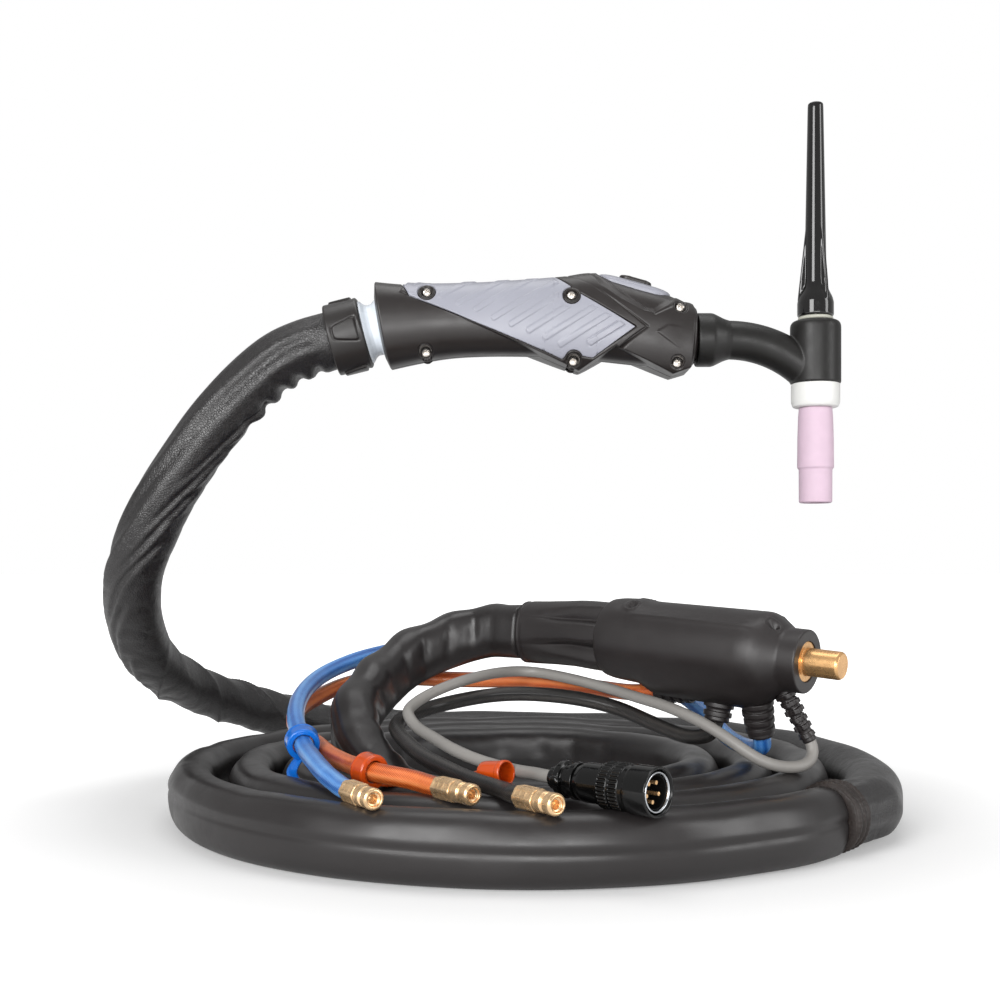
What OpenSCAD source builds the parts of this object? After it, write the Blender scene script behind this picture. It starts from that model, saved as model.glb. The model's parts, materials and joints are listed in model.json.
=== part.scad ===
// Water-cooled TIG torch: swivelling handle with trigger, head with back cap and gas cup,
// and its hose pack laid in a flat coil with the current plug and the three couplings on top.
// Millimetres. +Z runs up the electrode axis, +X points away from the handle, and the origin
// is where the electrode leaves the collet. Routes are given as x, y and height over the floor.

/* [Head] */
// Gas cup mouth to the floor that the coil lies on
mouth_height = 155.5; // [150:0.5:220]
// Gas cup mouth below the collet's tip
mouth_drop = 6; // [4:0.5:10]
// Gas cup length
cup_length = 47.5; // [40:0.5:52]
// Gas cup largest diameter
cup_d = 18; // [17:0.1:20]
// Gas cup bore at the mouth
cup_bore = 12.6; // [11:0.1:13]
// Electrode diameter that the collet takes
electrode_d = 2.4; // [1.6:0.1:3.2]
// Collet outside diameter
collet_d = 4.6; // [4.4:0.1:5]
// Height of the white insulator
insulator_h = 12; // [9:0.5:15]
// Diameter of the white insulator
insulator_d = 24; // [22:0.5:24.5]
// Outside diameter of the head moulding
head_d = 25; // [25:0.5:30]
// Height of the head moulding
head_h = 31.5; // [28:0.5:36]
// Radius of the curved neck tube
neck_r = 9.6; // [8.5:0.1:10.5]
// Diameter of the collar at the handle end of the neck
collar_d = 26.6; // [25:0.2:28]
// Length of the collar
collar_length = 9; // [7:0.5:12]

/* [Back cap] */
// Back cap length over the seal
cap_length = 107; // [60:1:120]
// Diameter of the bulge above the seal
cap_d = 17.9; // [16:0.1:20]
// Diameter at the tip
cap_tip_d = 7.6; // [6:0.1:9]
// Cross-section of the back cap seal
seal_d = 2; // [1.6:0.1:2.4]
// Grip fins on the cap
cap_fins = 3; // [2:1:6]

/* [Handle] */
// Distance from the electrode axis to the nose of the handle
neck_reach = 60; // [56:0.5:68]
// Length of the handle from its nose to its rear rim
handle_length = 160; // [150:1:170]
// Width of the handle at the waist
waist_w = 34; // [32:0.5:38]
// Diameter of the handle at its rear rim
rim_d = 43.3; // [42:0.5:46]
// Wall of the handle shells
shell_wall = 2.6; // [2.2:0.1:3]
// How far the side panels stand out
panel_rise = 1.2; // [0.8:0.1:1.8]
// Thickness of the ridged grip inserts
insert_t = 1.6; // [1.2:0.1:2]
// Diagonal bars on each grip insert
bar_count = 12; // [8:1:14]
// Diameter of the ball in the handle's tail
ball_d = 34; // [33:0.2:35]
// Diameter of the ball's neck
ball_neck_d = 25.4; // [24:0.2:26]
// Bore through the ball for the hoses
ball_bore = 19; // [16:0.5:20]
// Shank diameter of the handle screws
screw_d = 2.8; // [2.5:0.1:3.2]
// Travel of the trigger button
button_travel = 1.5; // [1:0.1:2]

/* [Hose pack] */
// Outside diameter of the swivel nut
nut_d = 35.4; // [35:0.2:38]
// Length of the swivel nut
nut_length = 17.6; // [16:0.2:20]
// Diameter of the leather cover
leather_d = 30; // [28:0.5:31]
// Width of the smooth hose cover lying on edge
hose_w = 22; // [18:0.5:22]
// Height of the smooth hose cover
hose_h = 30; // [26:0.5:30]
// Radius of the outer loop where the leather ends
coil_r = 172; // [168:1:190]
// Step inwards of each loop
loop_step = 26; // [25:0.5:28]
// Extra step of the first loop, which clears the leather
wrap_step = 3.5; // [3:0.5:6]
// Loops of smooth hose
loops = 3.14; // [2.14:1:3.14]

/* [Plug boot] */
// Diameter of the boot at its rear
boot_d = 38; // [36:0.5:42]
// Diameter of the boot's nose
boot_nose_d = 29.6; // [28:0.2:31]
// Length of the boot
boot_length = 119; // [110:1:130]
// Diameter of the current pin
pin_d = 13; // [9:0.1:14]
// How far the current pin stands out of the boot
pin_reach = 17; // [15:0.5:30]

/* [Leads] */
// Diameter of the braided water leads
water_d = 8.5; // [7.5:0.1:9]
// Diameter of the braided gas lead
gas_d = 7.5; // [6:0.1:8]
// Diameter of the control cable
cable_d = 5.5; // [5:0.1:6]
// Diameter of the brass couplings
coupling_d = 9; // [8.8:0.1:9.4]
// Length of a coupling's crimped ferrule
ferrule_length = 12; // [10:0.5:14]
// Length of a coupling's nipple
nipple_length = 11.5; // [9:0.5:13]
// Bore of a coupling
coupling_bore = 3.6; // [3:0.1:4.4]
// Outside diameter of the control plug's front ring
plug_d = 19.6; // [18:0.2:20]

/* [Hidden] */
// Radial gap of parts that turn or slide in each other
running = 0.06;
// Gap of parts that move past each other
moving = 0.3;

floor_z = -(mouth_height + mouth_drop);
cup_top = cup_length - mouth_drop;
head_z = cup_top + insulator_h;
head_top = head_z + head_h;
bore_r = electrode_d / 2 + 0.05;

// Head internals: brass core, collet body thread and the back cap's spigot
core_r = head_d / 2 - 3.5;
body_r = cup_bore / 2 - running;
body_thread = 9;
collet_l = head_z + 12;
cap_plug_r = 5.4;
cap_plug_l = 11;
cap_thread = 7;
// Spigot of the head in the handle's nose
spigot_r = 10.5;
spigot_l = 19;

// Neck: its bend ends where its lower edge enters the head, which sets the collar's height
nose_x = -neck_reach;
cone_l = 7;
neck_bend = 58;
collar_x = nose_x + collar_length;
neck_start = collar_x + cone_l;
neck_turn = asin((0.3 - head_d / 2 - neck_start) / (neck_bend - neck_r));
collar_z = head_z + 0.4 + neck_bend - (neck_bend - neck_r) * cos(neck_turn);

// Ball joint: centre, slope of the hose axis and slope of the handle's tail
ball_c = [along(-208.3), 0, collar_z + 8];
hose_slope = 14;
tail_slope = 10;
mouth_in = 7.6;
hose_dir = [-cos(hose_slope), 0, -sin(hose_slope)];
tail_dir = [-cos(tail_slope), 0, -sin(tail_slope)];
nut_front = ball_d / 2 + 0.2;
nut_rear = nut_front + nut_length;
nut_seat = 4;
nut_recess_r = 15.8;

// Handle, from the side: x and the height over the collar's axis, laid out 160 long from -60.
// Stations: top, bottom, and how far the width has gone from rim to waist
function along(x) = nose_x + (x + 60) * handle_length / 160;
function all_along(ps) = [for (p = ps) [along(p.x), p.y]];
stations = [for (s = [
    [-220, 28.2, -212.4, -14.6, 0], [-207.7, 27.1, -199.7, -11.8, 0.31],
    [-192.7, 26.4, -184, -9.1, 0.66], [-167.7, 27, -166.7, -8, 0.96],
    [-142.7, 28.6, -144.2, -8, 1], [-126, 30, -126.5, -8.8, 0.94],
    [-109.5, 31.8, -108.5, -10.4, 0.87], [-90, 26.8, -88, -12.6, 1.04],
    [-73.7, 22, -73, -13.6, 1.24], [-60.3, 15.2, -62.3, -14.2, 1.48]])
    [along(s[0]), s[1], along(s[2]), s[3], s[4]]];
handle_n = 28;
handle_power = 2.4;
keel_drop = 8;
// Outline of the raised side panels, seen from the side, rear part then front part
rhomb = all_along([[-203, 27.6], [-207, 21.6], [-118.7, -16.6], [-84, 7.1], [-112, 26.6],
    [-128, 31.6]]);
cross_panel = all_along([[-128, 31.6], [-110, 31.6], [-80, 13.1], [-66, 18.6], [-61.5, 17], [-63.3, -15.4],
    [-72.5, -18.5], [-85.5, -9.1], [-99.3, -3], [-84, 7.1], [-108, 23.6]]);
insert_outline = all_along([[-207.2, 28.6], [-202.6, 20.6], [-126.7, -9.4], [-123.8, -7.2], [-117.2, -7.8],
    [-111.2, -8.8], [-89.8, 6.8], [-116.5, 22], [-132, 31.1]]);
// Screws of the handle: x, z and the depth of the head's face from the parting plane
screws = [for (s = [[-194.2, 23.1, 8.4], [-195, -5.6, 11], [-122, 22.2, 12.6], [-121, -10.2, 10.4],
    [-68, 15.8, 7], [-69.5, -11.8, 7.4]]) [along(s.x), s.y, s.z]];

screw_head_r = 2.3;
screw_head_h = 2;
boss_r = 3.4;
rib_l = waist_w / 2 - shell_wall;
cavity_rear = along(-187);
cavity_front = along(-77);
half_w = 40;
half_h = 90;
half_drop = 35;
head_room = 30;
// Bars of the grip inserts
bar_length = 46;
bar_w = 3.4;
bar_rise = 0.45;

// Trigger: place and slope of its bezel on the handle's top
trigger_c = [along(-90.6), 0, collar_z + 27.8];
trigger_slope = 15.5;
bezel_l = 35;
bezel_w = 17;
button_l = 16.6;
button_w = 9.6;
bezel_t = 2.6;
slot_h = 12;
slot_drop = 11.6;

// Coil centre and the spiral that the hose follows, in turns clockwise from the leather's end
coil_c = [-150, 17];
coil_from = -40;
coil_cut = hose_h / 10;
coil_z = hose_h / 2 - coil_cut;
function loop_r(t) = coil_r - loop_step * t - wrap_step * min(t, 1);
function on_coil(t, z) = [coil_c.x + loop_r(t) * cos(coil_from - 360 * t),
    coil_c.y + loop_r(t) * sin(coil_from - 360 * t), z];
piping_l = 12;

// Boot axis: centre of its rear face and the way its nose points
boot_rear = [-110.5, 17, 89];
boot_dir = unit([0.94, -0.74, -0.09]);
sleeve_l = 40;
sleeve_dir = unit([-0.78, 0.62, 0]);
boot_front = boot_rear + boot_length * boot_dir;

// Strain reliefs: root, tip, lead radius
red_relief_at = [[-63, -12, 64], [-79, -1, 61.5]];
blue_relief_at = [[-38, -40, 66], [-34, -34, 44]];
gas_relief_at = [[-51, -27, 68], [-54, -27, 50]];
cable_relief_at = [[-26, -47, 66], [-14, -47, 43]];
relief_at = [red_relief_at, blue_relief_at, gas_relief_at, cable_relief_at];
relief_r = [7.2, 7.4, 7.4, 5.4];

// Couplings: where the hose ends and the way the nipple points
red_end = [-182.6, -117.6, 33];
red_dir = unit([16, -20.5, 0]);
blue_end = [-218.5, -126, 33];
blue_dir = unit([12, -20, 0]);
gas_end = [-149.5, -141, 33.4];
gas_dir = unit([14, -20, 0]);

// Dust caps and the current plug's flange
cap_in = coupling_d / 2 + 0.1;
cap_r = cap_in + 0.7;
red_cap_at = [-160, -96.5, 35.6];
red_cap_dir = unit([16, -15, 2]);
blue_cap_dir = unit([14, -11, 0]);
cap_l = 14;
strap_w = 5;
strap_t = 1.4;
blue_cap_at = [-224, -81, 25.2];
flange_r = 9.4;
belly_drop = 6.5;
stud_l = 19;
relief_seat = [9, 9, 9, 5.5];
shell_r = 8;

// Control plug: rear of its gland and the way it points
plug_at = [-136, -121, 37.6];
plug_dir = unit([0.726, -0.686, 0]);

// Routes: x, y and height over the floor. The leather follows the ball, laid out for a ball
// at -208.3 and 244.913 over the floor, until it lies on the floor
hang = [ball_c.x + 208.3, 0, ball_c.z - floor_z - 244.913];
leather_route = [[-253.6, 0, 233.6], [-266, 0, 228], [-279, 0, 218], [-291, 0, 206],
    [-309, 1, 184], [-323, 3, 164], [-335, 8, 142], [-343.5, 16, 126], [-349, 28, 110],
    [-352, 42, 96], [-352, 64, 77], [-346, 90, 63], [-337, 116, 52], [-318, 142, 41],
    [-295, 164, 31], [-268, 182, 23], [-238, 194, 18], [-205, 201, 15.5], [-150, 199.5, 15],
    [-103, 191, 15], [-60, 173, 15], [-22, 145, 15], [4, 106, 15], [20, 62, 15], [25, 17, 15],
    [22, -18, 15]];
riser_route = [[-191, -58, 14], [-208, -47, 19], [-224, -24, 34],
    [-230, 0, 49], [-222, 26, 62], [-207, 47, 74.5], [-186, 58, 83], [-165, 58, 88.6]];
red_route = [[-93, 9, 60], [-107, 25, 60.6], [-124, 38, 62], [-145, 49, 63], [-168, 59, 62],
    [-191, 67, 62], [-218, 64, 63], [-239, 50, 61], [-253, 30, 55.6], [-260.8, 8, 50],
    [-256.7, -16, 44.8], [-243, -40, 40], [-232, -62, 37], [-214, -90, 35.5],
    [-193, -105.2, 34]];
blue_route = [[-33, -29, 38], [-36, -17, 35], [-45, -1, 39], [-55, 22, 51], [-76, 50, 64],
    [-113, 76, 75], [-158, 90, 80.4], [-197.5, 84, 79.7], [-229, 62, 75], [-249, 36, 68],
    [-256.6, 4, 60.7], [-255.6, -28, 52.6], [-248, -56, 43.4], [-241.4, -76, 39.9],
    [-230, -105, 35.6], [-223, -117, 33.6]];
gas_route = [[-59, -25, 42], [-67, -19, 41], [-82, -6, 46], [-101, 8, 53], [-127, 15, 57.5],
    [-158, 18, 58], [-188, 8, 53.5], [-207, -12, 48], [-206.5, -30, 45], [-200, -50, 41.5],
    [-192, -68, 39.6], [-180, -88, 38.4], [-169.5, -104, 37.2], [-159.5, -115, 36.4],
    [-154, -126, 36]];
cable_route = [[-13, -49, 35], [-18, -54, 32], [-28, -58, 32], [-39, -58, 35],
    [-48, -53, 41], [-57, -46, 47], [-66, -38, 52], [-78, -23, 56.5], [-90, -7, 59],
    [-105, 9, 62.6], [-124, 23, 66.4], [-143, 36, 68.6], [-160, 27, 68.4], [-177, 12, 65.5],
    [-192, 0, 60.5], [-201, -12, 55.5], [-203, -20, 53], [-198, -31, 47.6],
    [-190, -45, 44.8], [-178, -66, 41], [-166.5, -78, 38], [-151, -93, 36], [-143, -107, 37]];

red_strap = [[-209, -85, 28.8], [-197, -84, 28.4], [-184, -86, 28.4], [-174, -87, 31]];
blue_strap = [[-252, -61, 31], [-248, -69.5, 27.4], [-240, -74, 25.4], [-234, -75.5, 25]];

$fn = 48;

// ---- geometry helpers ----

function unit(v) = v / norm(v);
function over_floor(p) = [p.x, p.y, p.z + floor_z];
function all_over_floor(ps) = [for (p = ps) over_floor(p)];

// Catmull-Rom spline through pts, each span cut in n
function spline_at(a, b, c, d, t) = 0.5 * (2 * b + (c - a) * t
    + (2 * a - 5 * b + 4 * c - d) * t * t + (3 * b - a - 3 * c + d) * t * t * t);
function spline(pts, n) = let (m = len(pts)) [
    for (i = [0:m - 2]) for (k = [0:n - 1])
        spline_at(pts[max(i - 1, 0)], pts[i], pts[i + 1], pts[min(i + 2, m - 1)], k / n),
    pts[m - 1]];

// A ring of the profile (side, up) at point i of a path
function tangent(path, i) =
    unit(path[min(i + 1, len(path) - 1)] - path[max(i - 1, 0)]);
function path_ring(path, i, profile) = let (
    t = tangent(path, i),
    side = unit(cross(t, [0, 0, 1])),
    up = cross(side, t))
    [for (p = profile) path[i] + p.x * side + p.y * up];
function round_profile(r, n) = [for (k = [0:n - 1]) r * [cos(360 * k / n), sin(360 * k / n)]];
// The smooth hose on edge: six sides, cut flat by the given depth underneath
function oval_profile(cut) = let (
    w = hose_w / 2, h = hose_h / 2, side = h / 2, foot = w * cut / (h - side))
    cut > 0
    ? [[w, side], [0, h], [-w, side], [-w, -side], [-foot, cut - h], [foot, cut - h], [w, -side]]
    : [[w, side], [0, h], [-w, side], [-w, -side], [0, -h], [w, -side]];

// A closed skin of triangles over rings of equal length
module skin(rings) {
    n = len(rings[0]);
    m = len(rings);
    sides = [for (i = [0:m - 2]) for (k = [0:n - 1]) let (
        a = i * n + k, b = i * n + (k + 1) % n, c = a + n, d = b + n)
        each [[a, b, d], [a, d, c]]];
    first = [for (k = [1:n - 2]) [0, k + 1, k]];
    last = [for (k = [1:n - 2]) [(m - 1) * n, (m - 1) * n + k, (m - 1) * n + k + 1]];
    polyhedron([for (r = rings) each r], concat(sides, first, last));
}

module tube(path, profile) {
    skin([for (i = [0:len(path) - 1]) path_ring(path, i, profile)]);
}

// Children's +Z turned along dir and moved to p
module aim(p, dir) {
    translate(p) rotate([0, acos(dir.z / norm(dir)), atan2(dir.y, dir.x)]) children();
}

// Points of an arc in a profile
function arc(x, y, r, from, to) = let (n = ceil(abs(to - from) / 15))
    [for (i = [0:n]) let (a = from + (to - from) * i / n) [x + r * cos(a), y + r * sin(a)]];

module ring(r_out, r_in, h) {
    difference() {
        cylinder(r = r_out, h = h);
        translate([0, 0, -1]) cylinder(r = r_in, h = h + 2);
    }
}

// Joins a faceted skin into one mesh, so that exact bores can be cut in it
module moulded() {
    resize([0, 0, 0]) children();
}

// ---- head ----

module neck_arc(r) {
    translate([neck_start, 0, collar_z - neck_bend]) rotate([-90, 0, 0])
        rotate([0, 0, -90]) rotate_extrude(angle = neck_turn)
            translate([neck_bend, 0]) circle(r = r);
}

module head_body() {
    round = 4;
    r = collar_d / 2;
    color("#262626") difference() {
        union() {
            translate([0, 0, head_z]) rotate_extrude() polygon(concat([[0, 0], [head_d / 2, 0]],
                arc(head_d / 2 - round, head_h - round, round, 0, 90), [[0, head_h]]));
            neck_arc(neck_r);
            translate([neck_start, 0, collar_z]) rotate([0, -90, 0]) rotate_extrude()
                polygon([[0, 0], [neck_r, 0], [neck_r + 0.7, 2], [r - 1.2, cone_l - 1.2],
                    [r - 0.2, cone_l + 0.4], [r, cone_l + 1.6], [r, cone_l + collar_length],
                    [spigot_r, cone_l + collar_length],
                    [spigot_r, cone_l + collar_length + spigot_l],
                    [0, cone_l + collar_length + spigot_l]]);
        }
        translate([0, 0, head_z - 1]) cylinder(r = core_r, h = head_h - 2);
        translate([0, 0, head_top - 4]) cylinder(r = cap_plug_r + moving, h = 10);
    }
}

module head_core() {
    color("#b87a3a") translate([0, 0, head_z]) difference() {
        cylinder(r = core_r, h = head_h - 3);
        translate([0, 0, -1]) cylinder(r = body_r + running, h = body_thread + 1);
        cylinder(r = collet_d / 2 + moving, h = head_h);
        translate([0, 0, head_h - 3 - cap_thread]) cylinder(r = cap_plug_r + running, h = 20);
    }
}

module collet_body() {
    top = head_z + body_thread - 0.2;
    color("#c08a45") difference() {
        union() {
            translate([0, 0, cup_top - 9]) cylinder(r = body_r, h = top - cup_top + 9);
            translate([0, 0, 3]) cylinder(r = 4.2, h = cup_top - 11);
            cylinder(r1 = 2.6, r2 = 4.2, h = 3);
        }
        translate([0, 0, 3]) cylinder(r = collet_d / 2 + running, h = top);
        translate([0, 0, -1]) cylinder(r = bore_r, h = 6);
        for (a = [0, 90]) rotate([0, 0, a + 45]) translate([0, 0, 20]) rotate([90, 0, 0])
            cylinder(r = 1, h = 12, center = true);
    }
}

module collet() {
    slit = 0.5;
    color("#c9884f") difference() {
        translate([0, 0, 3.1]) cylinder(r = collet_d / 2, h = collet_l);
        cylinder(r = bore_r, h = collet_l + 10);
        for (a = [0, 90]) rotate([0, 0, a]) translate([-5, -slit / 2, 3])
            cube([10, slit, 14]);
    }
}

module back_cap() {
    z0 = head_top + seal_d + 0.1;
    r = cap_d / 2;
    tip = cap_tip_d / 2;
    color("#101010") difference() {
        union() {
            translate([0, 0, z0]) rotate_extrude() union() {
                polygon([[0, 0], [r - 0.3, 0], [r, 0.6], [r, 7.5], [r - 0.7, 9.8],
                    [r - 2, 12.2], [r - 3, 14.2], [5.5, 16.5], [4.9, 48], [4.4, 75],
                    [tip, cap_length - 2], [tip - 0.6, cap_length - 0.5],
                    [tip - 1.6, cap_length], [0, cap_length]]);
            }
            for (i = [0:cap_fins - 1]) rotate([0, 0, 180 + i * 360 / cap_fins])
                translate([0, 0.6, z0]) rotate([90, 0, 0]) linear_extrude(1.2)
                    polygon([[0, 8], [r, 8.5], [4.6, 44.5], [0, 44.5]]);
            translate([0, 0, z0 - cap_plug_l]) cylinder(r = cap_plug_r, h = cap_plug_l + 1);
        }
        translate([0, 0, z0 - cap_plug_l - 1]) cylinder(r = 2.4, h = cap_length + cap_plug_l - 8);
    }
}

module cap_oring() {
    color("#b9b9ae") translate([0, 0, head_top + seal_d / 2 + 0.05]) rotate_extrude()
        translate([cap_d / 2 - 1.3, 0]) circle(r = seal_d / 2);
}

module head_insulator() {
    r = insulator_d / 2;
    color("#f2f2ee") translate([0, 0, cup_top]) difference() {
        rotate_extrude() polygon([[0, 0.05], [r - 2.4, 0.05], [r - 1, 0.6], [r - 0.3, 1.8],
            [r, 3.6], [r, insulator_h - 0.05], [0, insulator_h - 0.05]]);
        translate([0, 0, -1]) cylinder(r = body_r + moving, h = insulator_h + 2);
    }
}

module gas_nozzle() {
    r = cup_d / 2;
    skirt = 16.8;
    color("#e3b9d0") translate([0, 0, -mouth_drop]) difference() {
        rotate_extrude() polygon([[0, 0], [r - 1.4, 0], [r - 0.85, 0.5], [r - 0.8, skirt],
            [r, skirt + 0.8], [r - 0.5, cup_length - 4], [r - 0.9, cup_length],
            [0, cup_length]]);
        translate([0, 0, -1]) cylinder(r = cup_bore / 2, h = cup_length + 2);
    }
}

module pipe(p, r, l) {
    translate([p.x, p.y, p.z]) rotate([0, -90, 0]) ring(r, r - 1, l);
}
module water_in_tube() { color("#b8733a") pipe([nose_x - spigot_l, -5, collar_z + 2.6], 2.6, 34); }
module power_tube() { color("#b8733a") pipe([nose_x - spigot_l, 0, collar_z - 3.2], 3.2, 34); }
module gas_tube() { color("#b8733a") pipe([nose_x - spigot_l, 5, collar_z + 2.6], 2.6, 34); }

// ---- handle ----

function half_width(blend) = rim_d / 2 * (1 - blend) + waist_w / 2 * blend;
function handle_ring(s, up, down, side) = let (
    t = [s[0], 0, s[1] + collar_z], b = [s[2], 0, s[3] + collar_z], u = unit(t - b),
    top = t + up * u, bottom = b - down * u,
    c = (top + bottom) / 2, h = norm(top - bottom) / 2, w = half_width(s[4]) + side,
    e = 2 / handle_power)
    [for (k = [0:handle_n - 1]) let (a = 360 * k / handle_n)
        c + h * sign(sin(a)) * pow(abs(sin(a)), e) * u
          - [0, w * sign(cos(a)) * pow(abs(cos(a)), e), 0]];

// The handle's skin, grown upwards, downwards and sideways
module handle_skin(up, down, side) {
    skin([for (s = spline(stations, 2)) handle_ring(s, up, down, side)]);
}

module side_prism(side) {
    translate([0, side > 0 ? half_w : 0, collar_z]) rotate([90, 0, 0])
        linear_extrude(half_w) children();
}
module half_space(side) {
    translate([along(-240), side > 0 ? 0 : -half_w, collar_z - half_drop])
        cube([handle_length * 1.25, half_w, half_h]);
}
module panels(side) {
    intersection() {
        handle_skin(panel_rise, keel_drop, panel_rise);
        side_prism(side) union() { polygon(rhomb); polygon(cross_panel); }
    }
}
module along_y(x, z, side, from, to, r) {
    translate([x, side * from, collar_z + z]) rotate([-90 * side, 0, 0])
        cylinder(r = r, h = to - from);
}

module trigger_frame() {
    translate(trigger_c) rotate([0, trigger_slope, 0]) children();
}
module stadium(l, w) {
    hull() for (s = [-1, 1]) translate([s * (l - w) / 2, 0]) circle(d = w);
}

module shell_half(side) {
    difference() {
        union() {
            moulded() difference() {
                intersection() {
                    union() {
                        handle_skin(0, 0, 0);
                        panels(side);
                    }
                    half_space(side);
                }
                difference() {
                    intersection() {
                        handle_skin(-shell_wall, -shell_wall, -shell_wall);
                        translate([cavity_rear, -half_w, collar_z - half_drop])
                            cube([cavity_front - cavity_rear, 2 * half_w, half_h]);
                    }
                    for (s = screws) along_y(s.x, s.y, side, 0, head_room, boss_r, $fn = 20);
                }
                difference() {
                    side_prism(side) polygon(insert_outline);
                    handle_skin(panel_rise - insert_t, keel_drop - insert_t,
                        panel_rise - insert_t);
                }
            }
            trigger_frame() for (x = [-8, 5.5]) translate([x, side > 0 ? 1 : -1 - rib_l, -13.2])
                cube([2.5, rib_l, 1.6]);
        }
        translate(ball_c) sphere(r = ball_d / 2 + running);
        aim(ball_c, -tail_dir) cylinder(r = ball_neck_d / 2, h = 26);
        translate([nose_x + 2, 0, collar_z]) rotate([0, -90, 0])
            cylinder(r = spigot_r + running, h = spigot_l + 3);
        for (s = screws) {
            along_y(s.x, s.y, side, -1, s.z + 1, side < 0 ? screw_d / 2 + 0.1 : screw_d / 2);
            if (side < 0) along_y(s.x, s.y, side, s.z - screw_head_h, head_room,
                screw_head_r + 0.4);
        }
        trigger_frame() {
            translate([0, 0, -bezel_t]) linear_extrude(slot_h)
                stadium(bezel_l + 2 * running, bezel_w + 2 * running);
            translate([0, 0, -slot_drop]) linear_extrude(slot_h)
                stadium(button_l + 3.2, button_w + 3.2);
        }
    }
}
module handle_shell_front() { color("#2e2c2b") shell_half(-1); }
module handle_shell_rear() { color("#2e2c2b") shell_half(1); }

module bars() {
    pitch = 9.4;
    for (i = [0:bar_count - 1]) translate([along(-196 + i * pitch), 20.6 - i * 2.1]) rotate(31)
        square([bar_length, bar_w], center = true);
}
module insert_half(side) {
    gap = 0.1;
    difference() {
        moulded() difference() {
            intersection() {
                union() {
                    intersection() {
                        handle_skin(panel_rise, keel_drop, panel_rise);
                        side_prism(side) offset(delta = -gap) polygon(insert_outline);
                    }
                    intersection() {
                        handle_skin(panel_rise + bar_rise, keel_drop, panel_rise + bar_rise);
                        side_prism(side) intersection() {
                            offset(delta = -2.4) polygon(insert_outline);
                            bars();
                        }
                    }
                }
                half_space(side);
            }
            handle_skin(panel_rise - insert_t + gap / 2, keel_drop - insert_t + gap / 2,
                panel_rise - insert_t + gap / 2);
        }
        for (s = screws) along_y(s.x, s.y, side, 0, 40, screw_head_r + 0.7);
    }
}
module grip_insert_front() { color("#9aa3b2") insert_half(-1); }
module grip_insert_rear() { color("#9aa3b2") insert_half(1); }

module handle_screws() {
    color("#c9c4bd") for (s = screws) difference() {
        union() {
            along_y(s.x, s.y, -1, s.z - screw_head_h, s.z, screw_head_r);
            along_y(s.x, s.y, -1, -6.5, s.z, screw_d / 2 - 0.05);
        }
        translate([s.x, -s.z, collar_z + s.y]) for (a = [0, 90]) rotate([0, a, 0])
            cube([2.8, 2, 0.7], center = true);
    }
}

module switch_bezel() {
    color("#9fa9b8") trigger_frame() difference() {
        translate([0, 0, -bezel_t + 0.02]) linear_extrude(bezel_t + 0.5)
            stadium(bezel_l, bezel_w);
        translate([0, 0, -10]) linear_extrude(20)
            stadium(button_l + 2 * moving, button_w + 2 * moving);
    }
}

module switch_button() {
    color("#303030") trigger_frame() {
        translate([0, 0, -bezel_t - moving]) linear_extrude(bezel_t + moving + 1.9)
            stadium(button_l, button_w);
        translate([0, 0, 1.9]) linear_extrude(0.9) stadium(button_l - 1.6, button_w - 1.6);
        translate([0, 0, -bezel_t - moving - 1.2]) linear_extrude(1.2)
            stadium(button_l + 2, button_w + 2);
    }
}

module switch_block() {
    color("#1f1f24") trigger_frame() translate([-6.4, -4, -11.5]) cube([12.8, 8, 4.9]);
}

module ball_sleeve() {
    r = ball_neck_d / 2;
    flange = nut_recess_r - running;
    color("#a9b6c4") aim(ball_c, hose_dir) difference() {
        union() {
            intersection() {
                sphere(r = ball_d / 2);
                translate([0, 0, 1]) cube([60, 60, 24], center = true);
            }
            rotate_extrude() polygon([[0, 0], [r + 0.3, 10], [r, 12], [r, 13.4],
                [r + 0.7, 15], [flange - 0.6, nut_front], [flange, nut_front + 0.5],
                [flange, nut_front + 4.6], [0, nut_front + 4.6]]);
        }
        translate([0, 0, -20]) cylinder(r = ball_bore / 2, h = 60);
    }
}

module hose_nut() {
    r = nut_d / 2;
    color("#2b2827") aim(ball_c, hose_dir) difference() {
        union() {
            translate([0, 0, nut_front]) rotate_extrude() polygon([[0, 0], [r - 0.7, 0],
                [r, 0.7], [r, nut_length - 1], [r - 1, nut_length], [0, nut_length]]);
            for (a = [0:90:270]) rotate([0, 0, a + 90]) intersection() {
                translate([0, 0, nut_front]) ring(r + 0.9, r - 1, nut_length);
                translate([0, 0, nut_front + nut_length / 2]) rotate([0, 90, 0])
                    linear_extrude(r + 5) polygon([[-6.6, -5.8], [-6.6, 5.8], [-4.6, 7.6],
                        [4.6, 5.4], [6.2, 3.8], [6.2, -3.8], [4.6, -5.4], [-4.6, -7.6]]);
            }
        }
        translate([0, 0, nut_front - 1]) cylinder(r = nut_recess_r, h = 6);
        translate([0, 0, nut_front - 1]) cylinder(r = ball_bore / 2, h = nut_length + 2);
        translate([0, 0, nut_rear - nut_seat]) cylinder(r = leather_d / 2 + 0.15, h = 9);
    }
}

// ---- hose pack ----

coil_start = over_floor(on_coil(0, leather_d / 2 + 0.6));
coil_heading = unit(on_coil(0.001, 0) - on_coil(-0.001, 0));

module leather_hose() {
    nut_end = ball_c + (nut_rear - nut_seat) * hose_dir;
    end = coil_start - piping_l * coil_heading - [0, 0, 0.6];
    route = [for (i = [0:len(leather_route) - 1])
        leather_route[i] + max(0, min(1, (17 - i) / 14)) * hang];
    inner = spline(concat([nut_end + 12 * hose_dir], all_over_floor(route),
        [end - leather_d * coil_heading]), 2);
    path = concat([nut_end], inner, [end]);
    color("#2a2624") tube(path, round_profile(leather_d / 2, 10));
}

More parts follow.
